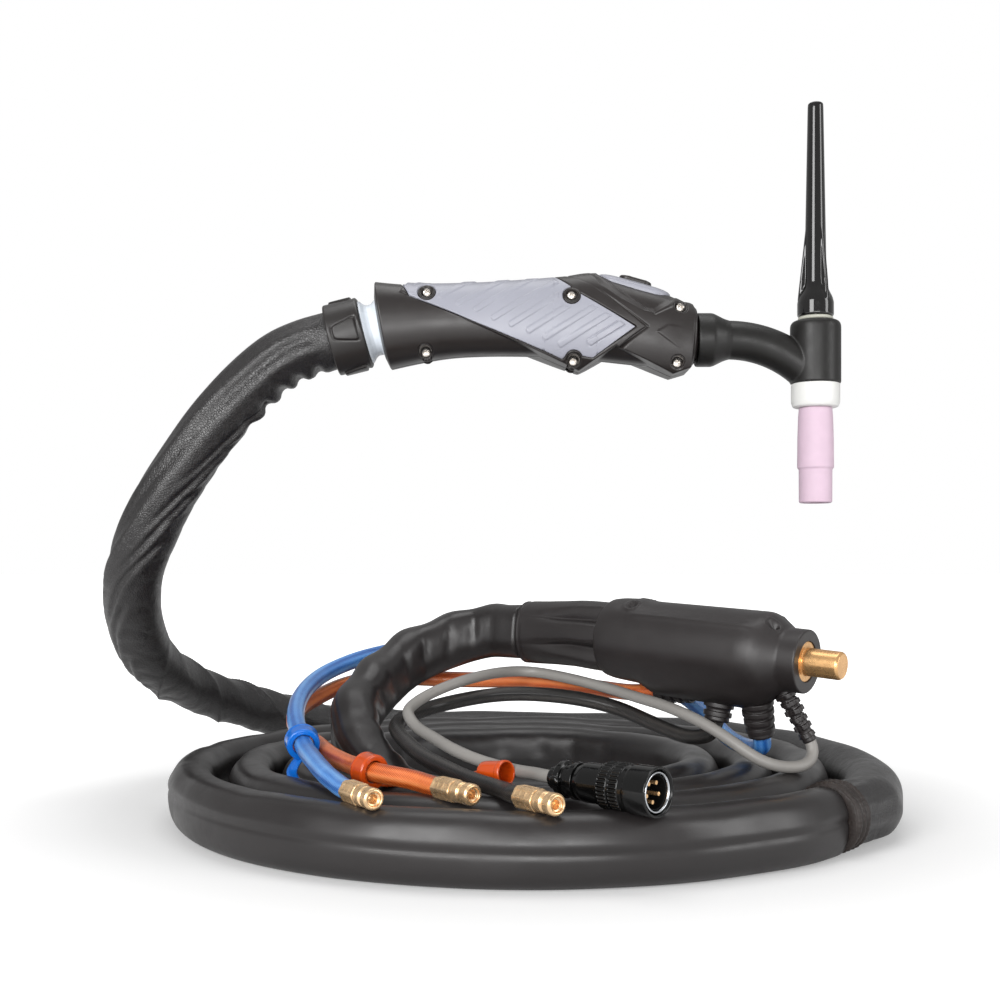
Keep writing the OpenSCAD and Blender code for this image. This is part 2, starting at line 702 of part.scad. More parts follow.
module leather_piping() {
    color("#3a2a22") aim(coil_start - piping_l * coil_heading, coil_heading) union() {
        cylinder(r = leather_d / 2 - 0.5, h = piping_l);
        for (i = [0:2]) translate([0, 0, 2 + i * 4]) rotate_extrude()
            translate([leather_d / 2 - 1, 0]) circle(r = 1.4);
    }
}

coil_steps = 24;
coil_last = on_coil(floor(coil_steps * loops) / coil_steps, coil_z);
coil_exit = unit(on_coil((floor(coil_steps * loops) + 1) / coil_steps, coil_z) - coil_last);
coil_end = coil_last + hose_w * coil_exit;
coil_path = all_over_floor(concat([on_coil(0, coil_z), on_coil(0, coil_z) + hose_w * coil_heading],
    [for (i = [1:floor(coil_steps * loops)]) on_coil(i / coil_steps, coil_z)], [coil_end]));

module hose_coil() {
    color("#302e2d") tube(coil_path, oval_profile(coil_cut));
}
coil_gaps = [for (i = [0:len(coil_path) - 1], j = [i + 18:len(coil_path) - 1])
    norm(coil_path[i] - coil_path[j]) - hose_w];
echo(coil_self_gap_mm = min(coil_gaps));

module hose_riser() {
    end = boot_rear + sleeve_l * sleeve_dir;
    route = concat([coil_end + 8 * coil_exit], riser_route, [end + 14 * sleeve_dir]);
    path = all_over_floor(concat([coil_end], spline(route, 3), [end]));
    color("#302e2d") tube(path, oval_profile(coil_cut));
}

module boot_neck_sleeve() {
    r1 = boot_d / 2 - 1.8;
    r2 = hose_h / 2 + 0.8;
    color("#262525") difference() {
        aim(over_floor(boot_rear), sleeve_dir) {
            translate([0, 0, -4]) cylinder(r1 = r1 + (r1 - r2) * 4 / sleeve_l, r2 = r2,
                h = sleeve_l + 4);
            for (a = [0:45:315]) rotate([0, 0, a]) translate([0, 1.2, 0]) rotate([90, 0, 0])
                linear_extrude(2.4) polygon([[10, -4], [r1 + 0.9, -4], [r2 + 0.3, sleeve_l],
                    [10, sleeve_l]]);
        }
        aim(over_floor(boot_rear), boot_dir) cylinder(r = 40, h = 20);
    }
}

module boot_solid() {
    r = boot_d / 2;
    n = boot_nose_d / 2;
    aim(over_floor(boot_rear), boot_dir) union() {
        rotate_extrude() polygon([[0, 0], [r - 1.6, 0], [r - 0.5, 1.4], [r, 4],
            [r + 0.6, 30], [r + 0.4, boot_length - 31], [r - 0.8, boot_length - 24],
            [n + 1.4, boot_length - 15], [n, boot_length - 11],
            [n, boot_length - 0.8], [n - 0.8, boot_length], [0, boot_length]]);
        translate([belly_drop, 0, 0]) rotate_extrude() polygon(concat([[0, 24]],
            arc(0, 42, r - 2.5, -60, 0), arc(0, boot_length - 34, r - 2.5, 0, 75),
            [[0, boot_length - 16]]));
    }
}

module plug_boot() {
    color("#2d2a29") difference() {
        boot_solid();
        for (k = [0:3]) relief_socket(k);
        aim(over_floor(boot_front), -boot_dir) {
            translate([0, 0, -1]) cylinder(r = flange_r + running, h = 4 + 1);
            cylinder(r = pin_d / 2 + 1.5 + running, h = stud_l + 1);
        }
    }
}

module current_plug() {
    color("#d8b060") aim(over_floor(boot_front), boot_dir) {
        translate([0, 0, -3.95]) cylinder(r = flange_r, h = 2.4);
        translate([0, 0, -stud_l]) cylinder(r = pin_d / 2 + 1.5, h = stud_l - 3);
        translate([0, 0, -3]) cylinder(r = pin_d / 2, h = pin_reach + 2);
        translate([0, 0, pin_reach - 1]) cylinder(r1 = pin_d / 2, r2 = pin_d / 2 - 0.8, h = 1);
    }
}

// Strain reliefs: a ribbed tube outside the boot and a smooth stem seated in it
module in_boot(k) {
    at = relief_at[k];
    aim(over_floor(at[0]), at[1] - at[0]) children();
}
module relief_socket(k) {
    in_boot(k) {
        translate([0, 0, -relief_seat[k]]) cylinder(r = relief_r[k] - 0.9 + running, h = 20);
        cylinder(r = relief_r[k] + moving, h = 30);
    }
}
module relief(k, r_tip, ribs) {
    l = norm(relief_at[k][1] - relief_at[k][0]);
    r = relief_r[k];
    in_boot(k) {
        translate([0, 0, -relief_seat[k]]) cylinder(r = r - 0.9, h = relief_seat[k]);
        cylinder(r1 = r - 0.9, r2 = r_tip - 0.5, h = l);
        for (i = [1:ribs]) translate([0, 0, l * (i + 0.2) / (ribs + 0.7)])
            cylinder(r = r + (r_tip - r) * i / ribs, h = l / ribs * 0.4);
    }
}
module red_relief() { color("#242322") relief(0, 5.8, 4); }
module blue_relief() { color("#242322") relief(1, 6, 5); }
module gas_relief() { color("#242322") relief(2, 5.6, 4); }
module cable_relief() { color("#242322") relief(3, 4, 6); }

// ---- leads ----

module lead(from, route, end, dir, d, sides) {
    out = unit(from[1] - from[0]);
    inner = spline(concat([from[1] + d * out], route, [end - d * dir]), 2);
    tube(all_over_floor(concat([from[1]], inner, [end])), round_profile(d / 2, sides));
}
module red_hose() {
    color("#b5451f") lead(red_relief_at, red_route, red_end, red_dir, water_d, 8);
}
module blue_hose() {
    color("#2f6fbf") lead(blue_relief_at, blue_route, blue_end, blue_dir, water_d, 8);
}
module gas_hose() {
    color("#222222") lead(gas_relief_at, gas_route, gas_end, gas_dir, gas_d, 8);
}
module control_cable() {
    color("#8d8a86") lead(cable_relief_at, cable_route, plug_at, plug_dir, cable_d, 8);
}

module ferrule(end, dir) {
    color("#d2a650") aim(over_floor(end), dir) difference() {
        intersection() {
            cylinder(d = coupling_d * 1.12, h = ferrule_length, $fn = 6);
            translate([0, 0, -0.01]) cylinder(r = coupling_d / 2 + 0.15, h = ferrule_length + 1);
        }
        translate([0, 0, 1]) cylinder(d = coupling_bore, h = ferrule_length);
    }
}
module nipple(end, dir) {
    r = coupling_d / 2;
    l = nipple_length;
    color("#d8ae5c") aim(over_floor(end + ferrule_length * dir), dir) difference() {
        rotate_extrude() polygon([[0, 0], [r, 0], [r, 1], [r - 0.6, 2.4], [r - 0.6, l - 6.4],
            [r - 1.2, l - 6.2], [r - 1.2, l - 5], [r - 0.6, l - 4.8], [r - 0.1, l - 4.4],
            [r - 0.1, l - 0.5], [r - 0.6, l], [0, l]]);
        translate([0, 0, -1]) cylinder(d = coupling_bore, h = l + 2);
        translate([0, 0, l - 1.4]) cylinder(d1 = coupling_bore, d2 = coupling_bore + 1.6, h = 1.5);
    }
}
module red_ferrule() { ferrule(red_end, red_dir); }
module red_nipple() { nipple(red_end, red_dir); }
module blue_ferrule() { ferrule(blue_end, blue_dir); }
module blue_nipple() { nipple(blue_end, blue_dir); }
module gas_ferrule() { ferrule(gas_end, gas_dir); }
module gas_nipple() { nipple(gas_end, gas_dir); }

// Dust caps: a keeper ring round the hose, its strap, and the cap at the strap's end
module keeper(route, i, strap, cap_at, cap_dir) {
    dir = unit(route[i + 1] - route[i - 1]);
    down = unit(cross(cross(dir, [0, 0, 1]), dir));
    back = cap_at - (cap_l / 2 + 0.3) * cap_dir;
    path = all_over_floor(spline(concat([route[i] - (water_d / 2 + 1.6) * down], strap,
        [back - 4 * cap_dir, back]), 2));
    flat = [[1, 1], [-1, 1], [-1, -1], [1, -1]];
    aim(over_floor(route[i]) - 4 * dir, dir) ring(water_d / 2 + 2.9, water_d / 2 + 0.6, 8);
    tube(path, [for (p = flat) [p.x * strap_w / 2, p.y * strap_t / 2]]);
}
module dust_cap(at, dir) {
    aim(over_floor(at) - cap_l / 2 * dir, dir) difference() {
        cylinder(r = cap_r, h = cap_l);
        translate([0, 0, 2]) cylinder(r = cap_in, h = cap_l);
    }
}
module red_cap_ring() {
    color("#b03a18") keeper(red_route, 13, red_strap, red_cap_at, red_cap_dir);
}
module red_dust_cap() { color("#b8401c") dust_cap(red_cap_at, red_cap_dir); }
module blue_cap_ring() {
    color("#2a66b4") keeper(blue_route, 12, blue_strap, blue_cap_at, blue_cap_dir);
}
module blue_dust_cap() { color("#2a66b4") dust_cap(blue_cap_at, blue_cap_dir); }

// ---- control plug ----

module on_plug(z) {
    aim(over_floor(plug_at), plug_dir) translate([0, 0, z]) children();
}
module plug_gland() { color("#1c1c1c") on_plug(0) cylinder(r1 = 4.6, r2 = 5.2, h = 5); }
module plug_clamp() {
    color("#161616") on_plug(5) {
        cylinder(r = 7.6, h = 4);
        translate([0, 0, 3]) cylinder(r = 6.4, h = 5);
        translate([0, 0, 7]) cylinder(r = 7.6, h = 3);
    }
}
module plug_barrel() {
    color("#141414") on_plug(15) difference() {
        union() {
            cylinder(r = 8, h = 13);
            cylinder(r = 7, h = 24);
        }
        translate([0, 0, 22]) cylinder(r = 5.6, h = 3);
    }
}
module plug_ring() {
    r = plug_d / 2;
    color("#1a1a1a") on_plug(28 + moving) difference() {
        union() {
            cylinder(r = r - 0.5, h = 25 - moving);
            for (z = [1.5, 7]) translate([0, 0, z]) linear_extrude(4) polygon(
                [for (i = [0:47]) (r - (i % 2 == 0 ? 0.05 : 0.75)) * [cos(i * 7.5), sin(i * 7.5)]]);
            translate([0, 0, 14]) cylinder(r = r, h = 11 - moving);
        }
        translate([0, 0, -1]) cylinder(r = 7 + running, h = 12.8);
        translate([0, 0, 11.5]) cylinder(r = shell_r + running, h = 20);
    }
}
module plug_shell() {
    color("#c9ccd0") on_plug(40.1) difference() {
        cylinder(r = shell_r, h = 12.4);
        translate([0, 0, -1]) cylinder(r = shell_r - 1, h = 20);
    }
}
module plug_insert() {
    color("#20201e") on_plug(39.05) cylinder(r = shell_r - 1.05, h = 4);
}
module plug_pins() {
    color("#cfa64a") on_plug(43.05) for (a = [0:72:288]) rotate([0, 0, a])
        translate([4, 0, 0]) cylinder(r = 0.8, h = 7);
}

head_body();
head_core();
collet_body();
collet();
back_cap();
cap_oring();
head_insulator();
gas_nozzle();
water_in_tube();
power_tube();
gas_tube();
handle_shell_front();
handle_shell_rear();
grip_insert_front();
grip_insert_rear();
handle_screws();
switch_bezel();
switch_button();
switch_block();
ball_sleeve();
hose_nut();
leather_hose();
leather_piping();
hose_coil();
hose_riser();
boot_neck_sleeve();
plug_boot();
current_plug();
red_relief();
blue_relief();
gas_relief();
cable_relief();
red_hose();
blue_hose();
gas_hose();
control_cable();
red_ferrule();
red_nipple();
blue_ferrule();
blue_nipple();
gas_ferrule();
gas_nipple();
red_cap_ring();
red_dust_cap();
blue_cap_ring();
blue_dust_cap();
plug_gland();
plug_clamp();
plug_barrel();
plug_ring();
plug_shell();
plug_insert();
plug_pins();
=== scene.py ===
import json
import math
import bpy
import bmesh
import numpy as np
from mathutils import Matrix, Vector


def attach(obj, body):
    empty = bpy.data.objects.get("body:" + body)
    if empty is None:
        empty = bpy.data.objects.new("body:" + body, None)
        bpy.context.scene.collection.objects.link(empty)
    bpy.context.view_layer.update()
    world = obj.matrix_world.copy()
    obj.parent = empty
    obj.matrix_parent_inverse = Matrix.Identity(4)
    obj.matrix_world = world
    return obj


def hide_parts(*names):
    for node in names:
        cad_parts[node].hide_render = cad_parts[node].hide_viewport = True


# Finished forms and materials of the TIG torch over its CAD frame. Lengths are in millimetres
# in the frame's axes: x along the torch, y away from the camera, z up.

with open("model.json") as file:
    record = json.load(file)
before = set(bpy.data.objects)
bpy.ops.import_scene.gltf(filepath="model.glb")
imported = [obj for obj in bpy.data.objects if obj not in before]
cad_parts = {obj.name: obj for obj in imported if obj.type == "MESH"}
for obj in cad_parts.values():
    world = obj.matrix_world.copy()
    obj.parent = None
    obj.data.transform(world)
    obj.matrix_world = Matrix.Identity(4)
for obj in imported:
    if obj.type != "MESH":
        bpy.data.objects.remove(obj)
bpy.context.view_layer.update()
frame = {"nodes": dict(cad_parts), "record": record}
nodes = frame["nodes"]
scene = bpy.context.scene

MM = 0.001
PI = math.pi
FLOOR = -161.5
ORIGIN, UP = (0, 0, 0), (0, 0, 1)

# ------------ geometry helpers


def unit(v):
    v = np.asarray(v, float)
    return v / np.linalg.norm(v)


def vec(*p):
    return np.array(p, float)


def over_floor(points):
    a = np.array(points, float)
    a[..., 2] += FLOOR
    return a


def catmull(points, n):
    """A smooth curve through the points, n steps to each span."""
    p = np.array(points, float)
    m = len(p)
    out = []
    for i in range(m - 1):
        a, b, c, d = p[max(i - 1, 0)], p[i], p[i + 1], p[min(i + 2, m - 1)]
        for k in range(n):
            t = k / n
            out.append(0.5 * (2 * b + (c - a) * t + (2 * a - 5 * b + 4 * c - d) * t * t
                              + (3 * b - a - 3 * c + d) * t ** 3))
    out.append(p[-1])
    return np.array(out)


def lengths(path):
    return np.concatenate([[0], np.cumsum(np.linalg.norm(np.diff(path, axis=0), axis=1))])


def at_lengths(table, s, at):
    """The table's rows, interpolated at lengths at along s."""
    return np.stack([np.interp(at, s, table[:, k]) for k in range(table.shape[1])], 1)


def resample(path, step):
    s = lengths(path)
    n = max(int(round(s[-1] / step)), 2)
    return at_lengths(path, s, np.linspace(0, s[-1], n + 1))


def smooth_path(path, rounds):
    p = path.copy()
    for _ in range(rounds):
        p[1:-1] = 0.25 * p[:-2] + 0.5 * p[1:-1] + 0.25 * p[2:]
    return p


def path_frames(path):
    """Level frames: the side vectors stay parallel to the floor."""
    t = np.gradient(path, axis=0)
    t /= np.linalg.norm(t, axis=1)[:, None]
    side = np.cross(t, [0, 0, 1.0])
    side /= np.maximum(np.linalg.norm(side, axis=1), 1e-6)[:, None]
    return t, side, np.cross(side, t)


def even_frames(path):
    """Frames that don't twist, for round braided leads."""
    t, side, _ = path_frames(path)
    s = [side[0]]
    for i in range(1, len(path)):
        v = s[-1] - t[i] * np.dot(s[-1], t[i])
        s.append(v / np.linalg.norm(v))
    side = np.array(s)
    return t, side, np.cross(side, t)


def smoothstep(a, b, x):
    t = np.clip((x - a) / (b - a), 0, 1)
    return t * t * (3 - 2 * t)


def between(a, b, c, d, x):
    """Rises from a to b and falls from c to d."""
    return smoothstep(a, b, x) * (1 - smoothstep(c, d, x))


def swell(x):
    """A sine between 0 and 1."""
    return 0.5 + 0.5 * np.sin(x)


def bell(x, w):
    return np.exp(-(x / w) ** 2)


def circle(n):
    """n angles, evenly round the turn."""
    return np.linspace(0, 2 * PI, n, endpoint=False)


def turn_gap(a, b):
    """Angle from b to a, between -pi and pi."""
    return (a - b + PI) % (2 * PI) - PI


def lumps(s, a, seed, size):
    """Smooth pseudo-random field of about -1 to 1 over length and angle."""
    r = np.random.RandomState(seed)
    out = 0
    for _ in range(9):
        f = (0.5 + r.rand() * 1.6) * 2 * PI / size
        n = r.randint(-3, 4)
        out = out + np.sin(f * s + n * a + r.rand() * 7) * (0.5 + r.rand() * 0.5)
    return out / 4.0


def oval(a, half_w, half_h, p):
    """Radius at angle a of a superellipse of power p."""
    return 1 / (np.abs(np.cos(a) / half_w) ** p + np.abs(np.sin(a) / half_h) ** p) ** (1 / p)


def polar(r, a):
    return r * np.cos(a), r * np.sin(a)


def round_in(d, r):
    """How far an edge of radius r lies below its corner at distance d from it, from 1 to 0."""
    return 1 - np.sqrt(1 - (1 - np.clip(d / r, 0, 1)) ** 2)


def poly_sd(x, z, poly):
    """Signed distance to a polygon, positive inside."""
    p = np.array(poly, float)
    q = np.roll(p, -1, axis=0)
    best = np.full(np.shape(x), 1e9)
    inside = np.zeros(np.shape(x), bool)
    for (ax, az), (bx, bz) in zip(p, q):
        ex, ez = bx - ax, bz - az
        t = np.clip(((x - ax) * ex + (z - az) * ez) / (ex * ex + ez * ez), 0, 1)
        best = np.minimum(best, np.hypot(x - ax - t * ex, z - az - t * ez))
        cross = (az > z) != (bz > z)
        at = ax + (z - az) * ex / (ez if abs(ez) > 1e-9 else 1e-9)
        inside ^= cross & (x < at)
    return np.where(inside, best, -best)


# ------------ objects
# A piece that is made without a body waits to be joined with others.


def new_object(name, data):
    ob = bpy.data.objects.new(name, data)
    scene.collection.objects.link(ob)
    return ob


def all_faces(me, key, value):
    me.polygons.foreach_set(key, [value] * len(me.polygons))


def declare(ob, body):
    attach(ob, body)


def finish_object(name, verts, faces, slot, body=None, uvs=None, weighted=False):
    me = bpy.data.meshes.new(name)
    me.from_pydata((np.asarray(verts).reshape(-1, 3) * MM).tolist(), [], faces)
    if uvs is not None:
        layer = me.uv_layers.new(name="UVMap")
        layer.data.foreach_set("uv", np.asarray(uvs, np.float32).ravel())
    all_faces(me, "use_smooth", True)
    me.materials.append(MAT[slot])
    me.update()
    ob = new_object(name, me)
    if weighted:
        ob.modifiers.new("Normals", "WEIGHTED_NORMAL").weight = 80
    if body:
        declare(ob, body)
    return ob


def grid_faces(rows, cols, wrap=True, flip=False, loop=False):
    """Quads of a grid; wrap closes each row, loop joins the last row to the first."""
    i = np.arange(rows if loop else rows - 1)[:, None]
    k = np.arange(cols if wrap else cols - 1)[None, :]
    j, n = (i + 1) % rows * cols, (k + 1) % cols
    i = i * cols
    corners = [i + k, i + n, j + n, j + k] if flip else [i + k, j + k, j + n, i + n]
    return np.stack(corners, -1).reshape(-1, 4).tolist()


def end_faces(rows, cols, flip=False):
    """The two faces that close the ends of a wrapped grid."""
    ends = [list(range(cols)), list(range((rows - 1) * cols, rows * cols))[::-1]]
    return [f[::-1] for f in ends] if flip else ends


def tube(name, path, section, around, slot, body=None, frames=path_frames, floor=True):
    """Sweeps section(s, a) -> (side, up) offsets along a path; u is in millimetres."""
    s = lengths(path)
    _, side, up = frames(path)
    a = circle(around)
    x, y = section(s[:, None], a[None, :])
    v = path[:, None, :] + x[..., None] * side[:, None, :] + y[..., None] * up[:, None, :]
    if floor:
        v[..., 2] = np.maximum(v[..., 2], FLOOR + 0.05)
    rows = len(path)
    faces = grid_faces(rows, around) + end_faces(rows, around)
    u0, u1 = (np.repeat(q, around).reshape(rows - 1, around) for q in (s[:-1], s[1:]))
    w0 = np.tile(np.arange(around) / around, (rows - 1, 1))
    w1 = w0 + 1 / around
    uv = np.stack([u0, w0, u1, w0, u1, w1, u0, w1], -1).reshape(-1, 2)
    return finish_object(name, v, faces, slot, body,
                         uvs=np.concatenate([uv, np.zeros((2 * around, 2))]))


def rounded(profile, r, cuts):
    """Rounds the corners of an open profile of (radius, height[, rounding])."""
    p = [np.array(q[:2], float) for q in profile]
    rs = [q[2] if len(q) > 2 else r for q in profile]
    out = [p[0]]
    for i in range(1, len(p) - 1):
        a, b, c = p[i - 1], p[i], p[i + 1]
        la, lc = np.linalg.norm(a - b), np.linalg.norm(c - b)
        d = min(rs[i], 0.45 * la, 0.45 * lc)
        if d < 1e-3:
            out.append(b)
            continue
        s, e = b + (a - b) / la * d, b + (c - b) / lc * d
        for k in range(cuts + 1):
            u = k / cuts
            out.append((1 - u) ** 2 * s + 2 * u * (1 - u) * b + u * u * e)
    out.append(p[-1])
    return np.array(out)


def axes_of(d):
    """The local x and y of OpenSCAD's aim()."""
    d = unit(d)
    beta, alpha = math.acos(d[2]), math.atan2(d[1], d[0])
    x = vec(math.cos(beta) * math.cos(alpha), math.cos(beta) * math.sin(alpha), -math.sin(beta))
    y = vec(-math.sin(alpha), math.cos(alpha), 0)
    return x, y, d


def subdivided(prof, step):
    """Cuts each side of a profile into lengths of at most step."""
    s = lengths(prof)
    keep = [prof[0]]
    for i in range(1, len(prof)):
        k = max(int(math.ceil((s[i] - s[i - 1]) / step)), 1)
        keep += [prof[i - 1] + (prof[i] - prof[i - 1]) * j / k for j in range(1, k + 1)]
    return np.array(keep)


def lathe(name, profile, at, d, slot, body=None, edge=0.3, cuts=4, seg=96, mod=None,
          closed=False, caps=True, step=None):
    """Turns a profile of (radius, height[, rounding]) round the axis d. Corners without a
    rounding of their own get edge, and mod(r, z, a) changes the radius."""
    prof = rounded(profile, edge, cuts)
    if step:
        prof = subdivided(prof, step)
    ax, ay, az = axes_of(d)
    a = circle(seg)
    r = np.repeat(prof[:, 0:1], seg, 1)
    z = np.repeat(prof[:, 1:2], seg, 1)
    if mod is not None:
        r = mod(r, z, a[None, :] + 0 * r)
    v = (np.asarray(at, float)[None, None, :] + (r * np.cos(a))[..., None] * ax
         + (r * np.sin(a))[..., None] * ay + z[..., None] * az)
    rows = len(prof)
    faces = grid_faces(rows, seg, flip=True, loop=closed)
    if caps and not closed:
        faces += end_faces(rows, seg, flip=True)
    return fix_normals(finish_object(name, v, faces, slot, body, weighted=True))


def fix_normals(ob):
    bm = bmesh.new()
    bm.from_mesh(ob.data)
    bmesh.ops.recalc_face_normals(bm, faces=bm.faces)
    bm.to_mesh(ob.data)
    bm.free()
    return ob


def join(name, objs, slot, body):
    """Joins meshes that share a material into one piece."""
    bm = bmesh.new()
    for o in objs:
        me = o.data.copy()
        me.transform(o.matrix_world)
        bm.from_mesh(me)
        bpy.data.meshes.remove(me)
    me = bpy.data.meshes.new(name)
    bm.to_mesh(me)
    bm.free()
    me.materials.append(MAT[slot])
    all_faces(me, "use_smooth", True)
    all_faces(me, "material_index", 0)
    for o in objs:
        bpy.data.objects.remove(o)
    ob = new_object(name, me)
    declare(ob, body)
    return ob


def evaluate(ob, slot):
    """Applies an object's modifiers."""
    dg = bpy.context.evaluated_depsgraph_get()
    me = bpy.data.meshes.new_from_object(ob.evaluated_get(dg))
    ob.modifiers.clear()
    ob.data = me
    all_faces(me, "use_smooth", True)
    me.materials.clear()
    me.materials.append(MAT[slot])


def stand_in(ob, *names):
    """The object takes the place of the frame's nodes."""
    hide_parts(*names)
    return ob


def turned(name, node, profile, at, d, body="hose_pack", **shape):
    return stand_in(lathe(name, profile, at, d, slot_of[node], body, **shape), node)


def swept(name, names, path, section, around, **shape):
    return stand_in(tube(name, path, section, around, slot_of[names[0]], "hose_pack", **shape),
                    *names)


# ------------ materials


def lin(h):
    c = [int(h[i:i + 2], 16) / 255 for i in (1, 3, 5)]
    return [x / 12.92 if x <= 0.04045 else ((x + 0.055) / 1.055) ** 2.4 for x in c] + [1.0]


def grey(k):
    return (k, k, k, 1)


def shade(c, k):
    return [min(x * k, 1.0) for x in c[:3]] + [1.0]


class Nodes:
    """The node tree of a material or a world; inputs are values or other nodes' outputs."""

    def __init__(self, owner, shader="Principled BSDF"):
        owner.use_nodes = True
        self.mat = owner
        self.tree = owner.node_tree
        self.bsdf = self.tree.nodes[shader]

    def put(self, node, inputs):
        for key, value in inputs.items():
            if isinstance(value, bpy.types.NodeSocket):
                self.tree.links.new(value, node.inputs[key])
            else:
                node.inputs[key].default_value = value

    def new(self, kind, inputs=None, **values):
        n = self.tree.nodes.new("ShaderNode" + kind)
        for k, v in values.items():
            setattr(n, k, v)
        self.put(n, inputs or {})
        return n.outputs

    def coord(self, name="Object"):
        return self.new("TexCoord")[name]

    def noise(self, scale, detail, rough=0.6):
        return self.new("TexNoise", {
            "Scale": scale, "Detail": detail, "Roughness": rough, "Vector": self.coord()})["Fac"]

    def math(self, op, *terms):
        return self.new("Math", dict(enumerate(terms)), operation=op)[0]

    def seen(self, ray, glossy):
        """1 for the camera and through clear pieces; reflections see as much as glossy."""
        most = self.math("MAXIMUM", ray["Is Camera Ray"], glossy)
        return self.math("MAXIMUM", most, ray["Is Transmission Ray"])

    def add(self, a, b):
        return self.math("ADD", a, b)

    def mul(self, a, b):
        return self.math("MULTIPLY", a, b)

    def ramp(self, fac, stops):
        n = self.tree.nodes.new("ShaderNodeValToRGB")
        e = n.color_ramp.elements
        while len(e) < len(stops):
            e.new(0.5)
        for el, (pos, col) in zip(e, stops):
            el.position = pos
            el.color = col
        self.put(n, {"Fac": fac})
        return n.outputs["Color"]

    def remap(self, fac, lo, hi, a=0.3, b=0.7):
        return self.new("MapRange", {
            "From Min": a, "From Max": b, "To Min": lo, "To Max": hi, "Value": fac})["Result"]

    def bump(self, height, distance, strength=1.0, normal=None):
        under = {} if normal is None else {"Normal": normal}
        return self.new("Bump", {
            "Distance": distance, "Strength": strength, "Height": height, **under})["Normal"]

    def mix(self, fac, a, b):
        return self.new("Mix", {"Factor": fac, "A": a, "B": b},
                        data_type="RGBA")["Result"]


def surface(name, base, rough=(0.4, 0.5), vary=0.12, patch=45.0, grain=2600.0,
            grain_depth=0.00003, spec=0.5, coat=0.0, wear=0.0, wear_color=None):
    """Moulded or cast surface: colour patches, roughness patches and a fine grain."""
    m = Nodes(bpy.data.materials.new(name))
    c = lin(base)
    fine = m.noise(grain, 3)
    mixed = m.add(m.mul(m.noise(patch, 3, 0.55), 0.72), m.mul(fine, 0.28))
    col = m.ramp(mixed, [(0.36, shade(c, 1 - vary)), (0.52, c), (0.66, shade(c, 1 + vary))])
    if wear:
        mask = m.remap(m.noise(patch * 9, 6, 0.75), 0.0, wear, 0.62, 0.78)
        col = m.mix(mask, col, wear_color or shade(c, 1.8))
    m.put(m.bsdf, {"Base Color": col, "Specular IOR Level": spec,
                   "Roughness": m.remap(m.noise(patch * 2.3, 5, 0.65), *rough)})
    if coat:
        m.put(m.bsdf, {"Coat Weight": coat, "Coat Roughness": 0.06})
    if grain_depth:
        m.put(m.bsdf, {"Normal": m.bump(fine, grain_depth)})
    return m.mat


def leather_material():
    """Pebbled grain over soft lumps, with painted shade that darkens the cracks between the
    pebbles.
    """
    m = Nodes(bpy.data.materials.new("grained_leather"))

    def cells(feature, scale):
        return m.new("TexVoronoi", {"Scale": scale, "Vector": m.coord()},
                     feature=feature)["Distance"]

    cell = m.remap(cells("DISTANCE_TO_EDGE", 820), 0.0, 1.0, 0.0, 0.22)
    # painted shade: the colour darkens where the pebble height sinks into the cracks
    col = m.ramp(m.mul(cell, m.remap(m.noise(40, 4), 0.75, 1.1)),
                 [(0.0, lin("#0c0b0b")), (0.35, lin("#181616")), (1.0, lin("#221f20"))])
    normal = m.bump(m.noise(120, 3, 0.5), 0.0008, 0.3)
    normal = m.bump(cells("F1", 310), 0.0003, 0.35, normal)
    m.put(m.bsdf, {"Base Color": col, "Specular IOR Level": 0.65,
                   "Roughness": m.remap(m.noise(120, 5, 0.7), 0.28, 0.42),
                   "Normal": m.bump(cell, 0.00016, 0.6, normal)})
    return m.mat


def braid_material(name, dark, base, light, strands, rough, depth, coat, spec=0.5):
    """Two sets of crossing strands round a hose, from the tube's own UV: u in millimetres."""
    m = Nodes(bpy.data.materials.new(name))
    uv = m.new("SeparateXYZ", {"Vector": m.coord("UV")})
    u, v = uv["X"], uv["Y"]

    def strand(op):
        across = m.math(op, m.mul(v, float(strands)), m.mul(u, 0.8))
        return m.math("ABSOLUTE", m.math("SINE", m.mul(across, PI)))

    weave = m.mul(strand("ADD"), strand("SUBTRACT"))
    # lengthwise streaks of painted highlight and painted shade, as light would catch soft pleats in
    # the sheath
    painted_light_streaks = m.mul(m.mul(m.math("SINE", m.add(m.mul(v, 4 * PI), m.mul(u, 0.021))),
                         m.math("SINE", m.math("SUBTRACT", m.mul(v, 10 * PI),
                                               m.mul(u, 0.016)))), 0.3)
    fine = m.noise(1900, 3)
    tone = m.add(m.add(m.mul(weave, 0.65), m.mul(m.noise(90, 3), 0.35)), painted_light_streaks)
    m.put(m.bsdf, {
        "Base Color": m.ramp(tone, [(0.08, lin(dark)), (0.36, lin(base)), (0.85, lin(light))]),
        "Roughness": m.remap(fine, *rough), "Specular IOR Level": spec,
        "Coat Weight": coat, "Coat Roughness": 0.16,
        "Normal": m.bump(m.add(weave, m.mul(fine, 0.25)), depth)})
    return m.mat


def brass_material(name, base, rough, right=None):
    """Turned metal; with right, the parts at the object's right side take that colour."""
    m = Nodes(bpy.data.materials.new(name))
    big = m.noise(140, 4)

    def tones(c, low, high):
        return m.ramp(big, [(0.34, shade(c, low)), (0.5, c), (0.68, shade(c, high))])

    col = tones(lin(base), 0.8, 1.12)
    if right:
        x = m.new("SeparateXYZ", {"Vector": m.coord()})["X"]
        col = m.mix(m.remap(x, 0.0, 1.0, -0.11, -0.09), col, tones(lin(right), 0.85, 1.1))
    m.put(m.bsdf, {"Base Color": col, "Metallic": 0.82 if right else 1.0,
                   "Roughness": m.remap(m.noise(400, 3), *rough),
                   "Normal": m.bump(m.noise(3800, 2), 0.000003, 0.5)})
    return m.mat


